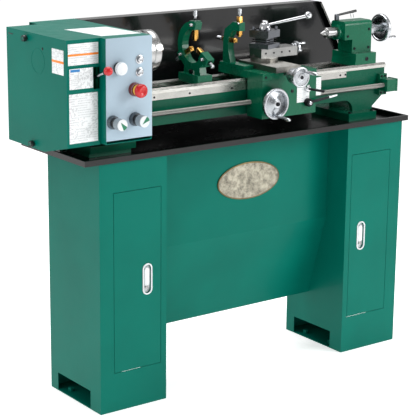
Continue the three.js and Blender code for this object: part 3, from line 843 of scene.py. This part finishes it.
@dataclass
class Bed(Assembly):
    """Bed, rack, leadscrew and its end bracket."""

    rack_screws: tuple = (-320.0, -190.0, -30.0, 414.0, 436.0)
    bracket_bolts: tuple = ((592, 905), (608, 905), (592, 849), (608, 849))
    left_foot_bolts: tuple = ((-552, 72), (-470, 72), (-408, 78))
    right_foot_bolts: tuple = ((445, 72), (541, 72))

    def build(self) -> None:
        """Makes the bed."""
        self.dress("bed_casting", "bed", 0.8)
        self.dress("gear_rack", "steel", 0.4)
        self.dress("leadscrew", "thread", 0)
        self.dress("leadscrew_bracket", "cast_green", 1.0)
        screws = self.shape()
        for x in self.rack_screws:
            screws.screw(Axis.Y, (x, 90.2, 923), 3.4, -1.2)
        screws.place("rack_screws", "stand_and_bed")
        bolts = self.shape()
        for x, z in self.bracket_bolts:
            bolts.screw(Axis.Y, (x, 84.2, z), 3.6, -3.0)
        for x, y in self.left_foot_bolts:
            bolts.screw(Axis.Z, (x, y, 804), 4.6, 4.5)
        for x, y in self.right_foot_bolts:
            bolts.screw(Axis.Z, (x, y, 796), 5.0, 5.0)
        bolts.place("foot_and_bracket_bolts", "stand_and_bed")


@dataclass
class Headstock(Assembly):
    """Headstock casting, covers, drive train and labels."""

    cover_side: float = -675.5
    cover_knobs: tuple = ((220, 1112), (190, 808))
    deck_outline: tuple = ((-564, 195), (-428, 184), (-417, 14), (-546, 23))

    def build(self) -> None:
        """Makes the headstock."""
        self.dress("headstock_casting", "cast_green", 0.8)
        self.dress("headstock_cover", "green", 1.2)
        self.dress("end_cover", "green", 1.4)
        self.dress("spindle", "turned", 0.3)
        for bearing in ("spindle_rear_bearing", "spindle_front_bearing"):
            self.dress(bearing, "turned", 0.5)
        for gear in ("spindle_gear", "idler_gear"):
            self.dress(gear, "steel", 0)
        for pulley in ("spindle_pulley", "motor_pulley"):
            self.dress(pulley, "iron", 0.4)
        self.dress("motor", "iron", 1.5)
        self.dress("drive_belt", "rubber", 0.4)
        self._cover_labels()
        self._cover_fittings()
        deck = self.shape()
        deck.prism(Axis.Z, self.deck_outline, 1130.4, 1131.4, "label_deck", 0)
        deck.place("headstock_deck_label", "stand_and_bed")

    def _cover_labels(self) -> None:
        """The printed labels on the end cover."""
        labels = (
            ("machine", (-671, -572), (1060, 1120), "label_top"),
            ("specification", (-667, -590), (992, 1050), "label_mid"),
            ("chart", (-669, -575), (838, 979), "label_low"),
        )
        for name, (x0, x1), (z0, z1), finish in labels:
            shape = self.shape().box((x0, -0.5, z0), (x1, 0.3, z1), finish, 0.15)
            if name == "specification":
                shape.box((x0 + 3, -0.7, z1 - 9), (x0 + 34, 0.2, z1 - 2), "blue_print", 0.1)
            shape.place(f"cover_label_{name}", "end_cover")
        side = self.shape().box(
            (self.cover_side - 1.0, 15, 1031), (self.cover_side - 0.2, 78, 1101), "label_side", 0.15)
        side.place("cover_label_side", "end_cover")

    def _cover_fittings(self) -> None:
        """Knobs, the blank disc and the vent on the end cover."""
        knobs = self.shape()
        for y, z in self.cover_knobs:
            knobs.turned(
                Axis.X, (0, y, z),
                [(6.3, -676.2), (6.3, -679.2), (9.3, -679.6), (9.6, -684), (9.3, -689.4), (8.4, -690),
                 (4.4, -690), (4.4, -685.5)], "black_plastic", steps=40)
        knobs.place("end_cover_knobs", "end_cover")
        blank = self.shape().turned(
            Axis.X, SPINDLE_LINE, [(36.6, -675.6), (36.6, -676.5), (35.4, -676.5), (35.4, -675.6)],
            "green", ring=True, steps=80)
        blank.turned(
            Axis.X, (0, 130, 1092), [(4.0, -675.5), (4.0, -676.6), (2.4, -676.9)], "dark", steps=24)
        blank.box((-676.4, 299, 1113), (-675.5, 326, 1116), "black_plastic", 0.2)
        blank.place("end_cover_blank_disc", "end_cover")


@dataclass
class Controls(Assembly):
    """The control panel with its lamp, buttons, knobs and lever."""

    face: float = -31.6
    lamp: tuple = (-526, 0, 1046)
    stop: tuple = (-472.5, 0, 981)
    button_x: float = -454
    buttons: tuple = (("upper", 1065), ("lower", 1029))
    selectors: tuple = (("left", -546, 893, 38), ("right", -471, 895, 128))
    lever_x: float = -578

    def _steps(self, steps: list) -> list:
        """Turns (radius, height above the panel) pairs into a profile along Y."""
        return [(radius, self.face - height) for radius, height in steps]

    def build(self) -> None:
        """Makes the controls."""
        self.dress("control_panel", "panel", 0.5)
        self._lamp_and_collar()
        stop = self.shape()
        stop.turned(
            Axis.Y, self.stop,
            self._steps([(6, 12), (6, 31), (18, 30), (20, 31.5), (20, 38), (18.5, 41.5), (15.5, 44),
                         (13, 45.6), (11, 45.8), (9, 44.4), (3, 44.0)]), "red")
        stop.place("stop_mushroom", "emergency_stop", "emergency_stop_button")
        for name, z in self.buttons:
            ring = self.shape().turned(
                Axis.Y, (self.button_x, 0, z),
                self._steps([(13.2, -0.2), (13.2, 1.6), (11.8, 2.4), (9.7, 2.4), (9.7, -0.2)]),
                "chrome", ring=True)
            ring.place(f"{name}_button_ring", "stand_and_bed")
            cap = self.shape().turned(
                Axis.Y, (self.button_x, 0, z),
                self._steps([(9, 3.4), (9, 7.6), (8, 8.8), (6.4, 9.0), (5.9, 8.3), (1, 8.1)]), "chrome")
            cap.place(f"{name}_button_cap", f"{name}_push_button", f"{name}_push_button")
        for selector in self.selectors:
            self._selector(*selector)
        self._lever()

    def _lamp_and_collar(self) -> None:
        """The pilot lamp and the stop button's collar."""
        lamp = self.shape()
        lamp.turned(
            Axis.Y, self.lamp, self._steps([(16.6, -0.3), (16.6, 12.6), (15.4, 13.4)]), "black_plastic")
        lamp.turned(
            Axis.Y, self.lamp,
            self._steps([(19.3, 12.9), (19.3, 19), (18.4, 20.8), (16.6, 21.4), (12, 21.9), (6, 22.2),
                         (1, 22.3)]), "white")
        lamp.place("pilot_lamp", "stand_and_bed")
        collar = self.shape()
        collar.turned(
            Axis.Y, self.stop,
            self._steps([(7.4, -0.2), (19.6, -0.2), (19.6, 13), (18.2, 15.3), (7.4, 15.3)]),
            "dark_red", ring=True)
        collar.turned(
            Axis.Y, self.stop,
            self._steps([(7.4, 15.1), (14.6, 15.1), (16, 18), (14.6, 24.3), (7.4, 24.3)]),
            "yellow", ring=True)
        collar.place("stop_collar", "stand_and_bed")

    def _selector(self, name: str, x: float, z: float, turn: float) -> None:
        """One rotary selector with a green pointer on its white face.

        Args:
            name: left or right.
            x: Its centre along the bed.
            z: Its centre above the floor.
            turn: The pointer's turn in degrees.
        """
        knob = self.shape()
        centre = (x, 0, z)
        knob.turned(Axis.Y, centre, self._steps([(19.8, 0.5), (20, 2), (19.6, 8), (17.5, 13)]), "slate")
        knob.turned(Axis.Y, centre, self._steps([(15, 12.5), (15, 28)]), "black_plastic")
        grip = []
        for index in range(48):
            angle = 2 * math.pi * index / 48
            radius = 16.9 if index % 2 else 16.4
            grip.append((x + radius * math.cos(angle), z + radius * math.sin(angle)))
        knob.prism(Axis.Y, grip, self.face - 27.5, self.face - 51, "grey", 0)
        knob.turned(Axis.Y, centre, self._steps([(16.6, 50.8), (16.4, 52.6), (15.2, 53.4)]), "white")
        angle = math.radians(-90 + turn)
        arc = [angle + spread for spread in (-0.5, -0.25, 0, 0.25, 0.5)]
        tip = [(15.4 * math.cos(a), 15.4 * math.sin(a)) for a in arc]
        tip.append((-11 * math.cos(angle), -11 * math.sin(angle)))
        pointer = [(x + u, z + v) for u, v in tip]
        knob.prism(Axis.Y, pointer, self.face - 53.2, self.face - 53.9, "marker", 0)
        knob.place(f"{name}_selector", f"{name}_selector", f"{name}_selector_knob")

    def _lever(self) -> None:
        """The feed direction lever with its red ball."""
        lever = self.shape()
        lever.turned(
            Axis.X, (0, 55, 1000),
            [(5.5, -584.8), (9.4, -584.8), (9.9, -584), (9.9, -573), (9.4, -572.2), (5.5, -572.2)],
            "dark", ring=True)
        x = self.lever_x
        lever.bar((x, 46, 1004.2), (x, -52, 1042.5), (5, 3.8), "chrome")
        lever.bar((x, -42, 1038), (x, -53, 1043), (6.4, 5.4), "black_plastic")
        lever.ball(13, (x, -61, 1046), "red")
        lever.place("feed_lever_with_ball", "feed_direction_lever", "feed_direction_lever")


@dataclass
class Chuck(Assembly):
    """The three-jaw chuck."""

    jaw_angles: tuple = (163, 283, 43)

    def build(self) -> None:
        """Makes the chuck."""
        body = self.shape().turned(
            Axis.X, SPINDLE_LINE,
            [(13, -384.4), (50, -384.4), (52, -382), (52, -347), (53, -345.5), (61.5, -345.5),
             (62.5, -344), (62.5, -312), (61.6, -311.4), (61.6, -310.4), (62.5, -309.8), (62.5, -289),
             (59, -285.2), (20, -285.2), (19, -286), (13, -286)], "turned", ring=True, steps=96)
        cutter = self.shape()
        for angle in self.jaw_angles:
            cutter.box((-303, 6, -7), (-284, 67.5, 7), "dark", 0, about_spindle(angle))
            cutter.box((-331, 52, -4.5), (-322, 70, 4.5), "dark", 0, about_spindle(angle + 60))
        body.carve(cutter)
        for angle in self.jaw_angles:
            turn = about_spindle(angle + 60)
            body.turned(
                Axis.Y, (-326.5, 0, 0), [(5.5, 59), (10, 59), (10, 62.2), (5.5, 62.2)],
                "dark", True, 32, turn)
        body.place("chuck_shell", "spindle", "chuck_body")
        for index in (1, 2, 3):
            self.dress(f"chuck_jaw_{index}", "steel", 0.6)


@dataclass
class Rests(Assembly):
    """The steady rest and the follow rest."""

    steady_x: float = -123
    follow_x: float = 48

    def build(self) -> None:
        """Makes both rests."""
        self.dress("steady_rest_frame", "cast_green", 1.2)
        self.dress("follow_rest_frame", "cast_green", 1.2)
        for name, angle in (("top", 90), ("front", 210), ("back", -30)):
            reach = (15, 84, 110)
            self._finger(
                f"steady_{name}_finger", f"steady_rest_{name}_finger", reach, angle, self.steady_x)
        for name, angle, root, end in (("top", 90, 78, 104), ("back", 0, 82, 112)):
            reach = (14, root, end)
            self._finger(
                f"follow_{name}_finger", f"follow_rest_{name}_finger", reach, angle, self.follow_x)
        clamp = self.shape()
        head = [(4.6, 12.6), (4.6, 17), (3.6, 17.6)]
        knob = [(6, -12.6), (6, -15), (4.2, -15.6), (4.2, -21), (3, -22)]
        for angle, reach in ((90, 64), (210, 68), (-30, 66)):
            turn = about_spindle(angle, self.steady_x)
            clamp.turned(Axis.X, (0, reach, 0), head, "dark", steps=24, matrix=turn)
            clamp.turned(Axis.X, (0, reach, 0), knob, "chrome", steps=24, matrix=turn)
        clamp.place("steady_clamp_screws", "steady_rest")
        nut = self.shape().turned(
            Axis.X, (0, 156, 0), [(7, -135.6), (8.4, -136), (8.4, -141), (6, -142.4)],
            "dark", steps=6, matrix=Matrix.Translation((0, 0, 975)))
        nut.place("steady_base_nut", "steady_rest")
        screws = self.shape()
        for y, z in ((150, 978), (176, 978)):
            screws.screw(Axis.X, (36.8, y, z), 4.6, -4.0)
        screws.turned(Axis.X, (0, 146, 1112), [(3.6, 36.9), (3.6, 33), (2.6, 31.5)], "chrome", steps=24)
        screws.place("follow_rest_screws", "carriage")

    def _finger(self, body: str, node: str, reach: tuple, angle: float, x: float) -> None:
        """A brass finger with its locknut and knurled adjusting screw.

        Args:
            body: The body that it rides on.
            node: The CAD node that it stands for.
            reach: Distances of its tip, shoulder and knob end from the spindle line.
            angle: Its direction in degrees from +Y towards +Z.
            x: Its place along the bed.
        """
        tip, root, end = reach
        brass_end = root - 20 if body.startswith("steady") else root
        turn = about_spindle(angle, x)
        finger = self.shape()
        finger.box((-7, tip + 5, -7), (7, brass_end, 7), "brass", 0.7, turn)
        finger.turned(
            Axis.Y, (0, 0, 0), [(4.2, tip), (5.6, tip + 1.4), (6.4, tip + 6)],
            "brass", steps=32, matrix=turn)
        finger.turned(
            Axis.Y, (0, 0, 0), [(3.5, brass_end - 1), (3.5, end - 18)], "chrome", steps=28, matrix=turn)
        finger.turned(
            Axis.Y, (0, 0, 0), [(5.6, root - 5), (6.6, root - 4.4), (6.6, root - 0.8), (5.6, root - 0.2)],
            "dark", steps=6, matrix=turn)
        knob = []
        for index in range(14):
            along = end - 19.5 + index * 19 / 14
            knob.append((6.5 if index % 2 else 5.9, along))
        finger.turned(Axis.Y, (0, 0, 0), knob, "alloy", steps=32, matrix=turn)
        finger.place(f"{node}_brass", body, node)


@dataclass
class Carriage(Assembly):
    """Saddle, apron, slides, tool post and the wheels and levers on them."""

    wheel_hub: tuple = (59, -24, 882)
    wheel_grip: tuple = (59, -24, 842)
    cross_hub: tuple = (115, -0.4, 966)
    cross_grip: tuple = (127, -0.4, 983)
    crank_line: tuple = (0, 140, 1020.5)
    crank_grips: tuple = ((0, 132, 1033.5), (0, 148, 1007.5))
    half_nut_pivot: tuple = (207, 0, 868)
    feed_pivot: tuple = (203, 0, 912)
    post_line: tuple = (135, 140, 0)

    def build(self) -> None:
        """Makes the carriage."""
        self.dress("saddle", "cast_green", 1.4)
        self.dress("apron", "cast_green", 1.6)
        self.dress("cross_slide", "cross_steel", 0.8)
        self.dress("compound_swivel", "cross_steel", 0.6)
        self.dress("compound_slide", "compound", 1.0)
        self.dress("tool_post", "iron", 0.9)
        self._carriage_wheel()
        self._cross_wheel()
        self._compound_wheel()
        self._levers()
        self._post_lever()
        self._fittings()

    def _carriage_wheel(self) -> None:
        """The dished wheel that moves the carriage."""
        centre = self.wheel_hub
        wheel = self.shape().turned(
            Axis.Y, centre,
            [(41, 1.5), (42, 0.6), (46, 0), (48.4, 2), (49, 6), (48.2, 11), (45.6, 13.8), (42.4, 13.4),
             (40.4, 11)], "alloy", ring=True, steps=80)
        wheel.turned(
            Axis.Y, centre,
            [(12, -1), (16, 1.4), (30, 8.4), (41.6, 10.2), (41.6, 12.8), (30, 11.4), (14, 11)],
            "dish", ring=True, steps=80)
        wheel.turned(
            Axis.Y, centre, [(9, -3), (12, -2.4), (14, 0), (14, 14), (13, 19.6), (9, 20)], "alloy")
        wheel.turned(Axis.Y, centre, [(6, -3), (6.8, -4), (6.8, -7), (5.4, -8)], "dark", steps=6)
        wheel.turned(Axis.Y, centre, [(9, 19), (9, 58)], "turned")
        wheel.turned(
            Axis.Y, self.wheel_grip,
            [(5, 3), (5.4, -2), (4.4, -6), (5.6, -20), (6, -40), (5.2, -56), (3.4, -62)],
            "chrome", steps=40)
        wheel.place("carriage_wheel", "carriage_handwheel", "carriage_handwheel")

    def _cross_wheel(self) -> None:
        """The cross-slide's solid wheel, dial and crank handle."""
        centre = self.cross_hub
        wheel = self.shape().turned(
            Axis.Y, centre,
            [(4.4, 21.4), (4.4, -8.2), (12, -8.4), (12, -26), (22.6, -26), (24, -27.4), (24, -55),
             (22, -57.2), (29, -57.4), (31.4, -59), (32, -62), (32, -69), (30.4, -71.4), (27, -72),
             (24.5, -70), (14, -69.6), (11.5, -71.8), (1, -71.8)], "alloy", steps=80)
        for notch in range(30):
            turn = Matrix.Translation(centre) @ Matrix.Rotation(math.radians(12 * notch), 4, "Y")
            wheel.box((-0.35, -36 if notch % 5 else -40, 23.8), (0.35, -28, 24.15), "dark", 0, turn)
        wheel.turned(Axis.Y, centre, [(5.6, -71.5), (5.6, -73.4), (4.8, -74)], "dark", steps=24)
        wheel.turned(Axis.Y, centre, [(24.1, -44), (24.1, -44.8)], "dark", steps=64)
        wheel.turned(
            Axis.Y, self.cross_grip,
            [(5, -70), (5.5, -74), (4.6, -78), (5.4, -96), (5.5, -116), (4.2, -127.6)],
            "chrome", steps=40)
        wheel.place("cross_wheel", "cross_slide_handwheel", "cross_slide_handwheel")

    def _compound_wheel(self) -> None:
        """The compound slide's ball-ended crank."""
        centre = self.crank_line
        wheel = self.shape().turned(
            Axis.X, centre,
            [(13.4, 246.5), (14, 247.4), (14, 259), (16, 259.6), (20, 261), (20, 268), (18.4, 270),
             (9, 270.4), (8, 272), (1, 272)], "alloy", steps=64)
        for grip in self.crank_grips:
            wheel.turned(
                Axis.X, grip, [(3.8, 266), (4.3, 272), (3.6, 276), (4.5, 288), (4.3, 294), (3, 296.2)],
                "chrome", steps=36)
        wheel.turned(Axis.X, centre, [(14.15, 250), (14.15, 251)], "dark", steps=56)
        wheel.place("compound_crank", "compound_handwheel", "compound_handwheel")

    def _levers(self) -> None:
        """The half-nut lever and the feed lever."""
        nut = self.shape()
        nut.turned(
            Axis.Y, self.half_nut_pivot, [(7, 27.8), (7, 9.6), (13, 9.5), (13, -4), (11, -8), (1, -8)],
            "dark")
        nut.bar((209, 0, 868.3), (300, -5, 879.7), (4.6, 3.6), "dark")
        nut.bar((284, -4.2, 877.7), (317, -6, 881.9), (4.0, 3.4), "chrome")
        nut.turned(
            Axis.Y, self.half_nut_pivot, [(6, -7.8), (6, -9.4), (3.4, -9.8), (3.4, -8.8), (1, -8.8)],
            "chrome", steps=6)
        nut.place("half_nut_handle", "half_nut_lever", "half_nut_lever")
        feed = self.shape()
        feed.turned(
            Axis.Y, self.feed_pivot, [(7, 27.8), (7, 9.6), (10, 9.5), (10, -1), (8, -4), (1, -4)],
            "chrome")
        feed.bar((204, -2, 912), (230, -46, 908), (3.6, 4.4), "dark")
        feed.place("feed_handle", "feed_lever", "feed_lever")

    def _post_lever(self) -> None:
        """The tool post's clamp lever: hub, tapered arm and ball."""
        lever = self.shape()
        lever.turned(
            Axis.Z, self.post_line,
            [(21, 1087.6), (21, 1090), (15, 1103), (12, 1107.4), (9.6, 1108), (9.6, 1114), (7.6, 1115.4)],
            "chrome")
        lever.bar((143, 136, 1101.4), (259, 87, 1126.4), (4.0, 5.4), "chrome")
        lever.ball(12, (266, 85, 1129), "chrome")
        lever.place("post_clamp_handle", "tool_post_lever", "tool_post_lever")

    def _fittings(self) -> None:
        """Plates, gib screws and studs."""
        plates = self.shape().box((165, 9.2, 870), (215, 10.4, 922), "label_feed", 0.2)
        plates.box((243.5, 29.2, 880.5), (280, 30.4, 938), "label_feed", 0.2)
        plates.place("apron_plates", "carriage")
        screws = self.shape()
        for x in (118, 150, 182, 214):
            screws.screw(Axis.Y, (x, 110.2, 1016), 3.0, -1.6)
        screws.place("compound_gib_screws", "compound_slide")
        cross = self.shape()
        for y in (24, 70, 116, 162):
            cross.screw(Axis.X, (169.8, y, 981.5), 3.2, 1.6)
        cross.place("cross_gib_screws", "cross_slide")
        hub = self.shape().turned(
            Axis.Y, (146, 10, 909), [(5.5, 0.5), (5.5, -1), (3.5, -2), (1, -2)], "dark", steps=32)
        for x, z in ((40, 950), (230, 950)):
            hub.screw(Axis.Y, (x, 10.2, z + 11), 4.0, -2.2)
        hub.place("apron_screws", "carriage")
        turn = Matrix.Translation(self.post_line) @ Matrix.Rotation(math.radians(20), 4, "Z")
        studs = self.shape()
        square = [(4.4, 1096.6), (4.4, 1097.6), (3.2, 1098.2)]
        for u in (-26, 26):
            for v in (-26, 26):
                studs.turned(Axis.Z, (u, v, 0), square, "dark", steps=4, matrix=turn)
        head = [(3.4, 1087.2), (3.4, 1090), (2.6, 1090.6)]
        for u in (-17, 0, 17):
            for side in (90, 180):
                spin = turn @ Matrix.Rotation(math.radians(side), 4, "Z")
                studs.turned(Axis.Z, (28, u, 0), head, "dark", steps=24, matrix=spin)
        for low in (1048.6, 1055.6):
            for side in (0, 90, 180, 270):
                spin = turn @ Matrix.Rotation(math.radians(side), 4, "Z")
                studs.box((20.9, -34.4, low), (22.2, 34.4, low + 2.2), "dark", 0.2, spin)
        studs.place("post_screws_and_grooves", "tool_post")


@dataclass
class Tailstock(Assembly):
    """Tailstock castings, quill, centre, wheel and lock lever."""

    grip_line: tuple = (0, AXIS_Y - 26, AXIS_Z - 31)
    lock_line: tuple = (463, 172, 0)
    side_screws: tuple = ((500, 1000), (562, 1000), (470, 1042), (562, 1060))

    def build(self) -> None:
        """Makes the tailstock."""
        self.dress("tailstock_base", "cast_green", 1.2)
        self.dress("tailstock_body", "cast_green", 1.6)
        quill = self.shape().turned(
            Axis.X, SPINDLE_LINE,
            [(9.2, 402), (15.4, 402), (17, 404), (17, 561.6), (8.2, 561.6), (8.2, 479.4), (9.2, 468)],
            "turned", True, 64)
        quill.place("quill_sleeve", "quill", "quill")
        centre = self.shape().turned(
            Axis.X, SPINDLE_LINE,
            [(0.3, 381), (9, 396), (9.2, 398.6), (12.6, 398.8), (13, 399.6), (13, 401), (12.4, 401.6),
             (8.5, 401.6), (8.5, 440)], "turned", steps=64)
        centre.place("live_centre_nose", "quill", "live_centre")
        self._wheel()
        lock = self.shape()
        lock.turned(
            Axis.Z, self.lock_line, [(7, 1090.5), (8, 1091.5), (8, 1108), (6.4, 1110.3)],
            "iron", steps=48)
        lock.bar((465, 172, 1106.8), (542, 166.1, 1117), (3.6, 4.4), "black_plastic")
        for x in (518, 530):
            lock.bar((x, 168, 1112), (x + 3, 166, 1095), (1.1, 1.1), "chrome")
        lock.place("quill_lock_handle", "quill_lock_lever", "quill_lock_lever")
        screws = self.shape()
        for x, z in self.side_screws:
            screws.screw(Axis.Y, (x, 122.2, z), 4.2, -2.6)
        screws.turned(
            Axis.Y, (535, 98.2, 966), [(7, 0.4), (7, -1.2), (4.4, -1.6), (4.4, -0.4), (1, -0.4)],
            "dark", steps=32)
        screws.place("tailstock_screws", "tailstock")

    def _wheel(self) -> None:
        """The tailstock's dished wheel and crank handle."""
        wheel = self.shape().turned(
            Axis.X, SPINDLE_LINE,
            [(38.4, 641.6), (40, 640.2), (45, 640), (47, 643), (47, 650.6), (45, 653.6), (41, 654),
             (38.4, 651)], "alloy", ring=True, steps=80)
        wheel.turned(Axis.X, SPINDLE_LINE, [(7, 504.4), (7, 575)], "turned")
        wheel.turned(
            Axis.X, SPINDLE_LINE,
            [(15.4, 574.6), (16, 575.4), (16, 614), (14, 616), (12, 632), (13, 640), (13, 650), (10, 653),
             (10, 670), (9, 672)], "alloy")
        wheel.turned(Axis.X, SPINDLE_LINE, [(16.15, 577), (16.15, 578)], "dark")
        wheel.turned(
            Axis.X, SPINDLE_LINE,
            [(11, 650), (16, 648), (28, 643.4), (39.4, 642), (39.4, 645.4), (28, 646.6), (12, 655)],
            "dish", ring=True, steps=80)
        wheel.turned(
            Axis.X, self.grip_line,
            [(4.6, 645), (5.2, 655), (4.4, 659), (5.8, 676), (5.6, 688), (3.6, 692)], "chrome", steps=40)
        wheel.place("tailstock_wheel", "tailstock_handwheel", "tailstock_handwheel")


# ---------------------------------------------------------------- studio


@dataclass
class Studio:
    """Floor, lights and camera."""

    azimuth: float = -36.51
    elevation: float = 14.58
    roll: float = 0.6
    lens: float = 128.9
    eye: tuple = (-2.7908, -3.6543, 1.7222)
    aim: tuple = (0.0, 0.0, 0.75)
    lights: tuple = (
        ("key_light", (2.2, -3.0, 2.2), 1.6, 78),
        ("left_light", (-3.6, 0.6, 2.4), 1.8, 26),
        ("top_light", (0.0, 0.6, 3.4), 2.6, 78),
    )
    fill: float = 0.5
    floor_size: float = 30.0
    floor_glow: float = 0.62

    def build(self) -> None:
        """Makes the studio."""
        bpy.context.scene.view_settings.view_transform = "Standard"
        self._floor()
        self._lights()
        self._camera()

    def _floor(self) -> None:
        """A plain pale floor."""
        graph = Graph("studio_floor")
        color = graph.blend(graph.noise(2.0), (0.9, 0.9, 0.9, 1), (0.94, 0.94, 0.94, 1))
        floor_paint = graph.close(
            Base_Color=color, Roughness=0.8, Emission_Color=color, Emission_Strength=self.floor_glow)
        part = bmesh.new()
        bmesh.ops.create_grid(part, x_segments=1, y_segments=1, size=self.floor_size)
        bmesh.ops.translate(part, vec=(0, 0, -0.0005), verts=part.verts)
        data = bpy.data.meshes.new("studio_floor")
        part.to_mesh(data)
        part.free()
        floor = bpy.data.objects.new("studio_floor", data)
        data.materials.append(floor_paint)
        bpy.context.scene.collection.objects.link(floor)

    def _lights(self) -> None:
        """White surroundings and three soft boxes."""
        world = bpy.context.scene.world or bpy.data.worlds.new("studio")
        bpy.context.scene.world = world
        world.use_nodes = True
        nodes = world.node_tree.nodes
        backdrop = nodes["Background"]
        backdrop.inputs["Color"].default_value = (1, 1, 1, 1)
        seen = nodes.new("ShaderNodeLightPath")
        level = nodes.new("ShaderNodeMapRange")
        level.inputs["To Min"].default_value = self.fill
        level.inputs["To Max"].default_value = 1.0
        world.node_tree.links.new(seen.outputs["Is Camera Ray"], level.inputs["Value"])
        world.node_tree.links.new(level.outputs[0], backdrop.inputs["Strength"])
        for name, place, size, power in self.lights:
            lamp = bpy.data.lights.new(name, "AREA")
            lamp.energy = power
            lamp.size = size
            thing = bpy.data.objects.new(name, lamp)
            thing.location = place
            towards = Vector(self.aim) - Vector(place)
            thing.rotation_euler = towards.to_track_quat("-Z", "Y").to_euler()
            bpy.context.scene.collection.objects.link(thing)

    def _camera(self) -> None:
        """The camera in front of the headstock's corner, a little above the bed."""
        azimuth, elevation = math.radians(self.azimuth), math.radians(self.elevation)
        flat = math.cos(elevation)
        back = Vector((math.sin(azimuth) * flat, -math.cos(azimuth) * flat, math.sin(elevation)))
        camera = bpy.data.objects.new("camera", bpy.data.cameras.new("camera"))
        camera.data.lens = self.lens
        camera.data.clip_end = 100
        turn = back.to_track_quat("Z", "Y").to_matrix() @ Matrix.Rotation(math.radians(self.roll), 3, "Z")
        camera.matrix_world = Matrix.Translation(self.eye) @ turn.to_4x4()
        bpy.context.scene.collection.objects.link(camera)
        bpy.context.scene.camera = camera


def main() -> None:
    """Builds the scene."""
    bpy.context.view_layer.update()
    Studio().build()
    paints = Paints()
    for group in (Stand, Bed, Headstock, Controls, Chuck, Rests, Carriage, Tailstock):
        LOG.info("building %s", group.__name__)
        group(paints).build()
    bpy.context.view_layer.update()


if __name__ == "__main__":
    main()
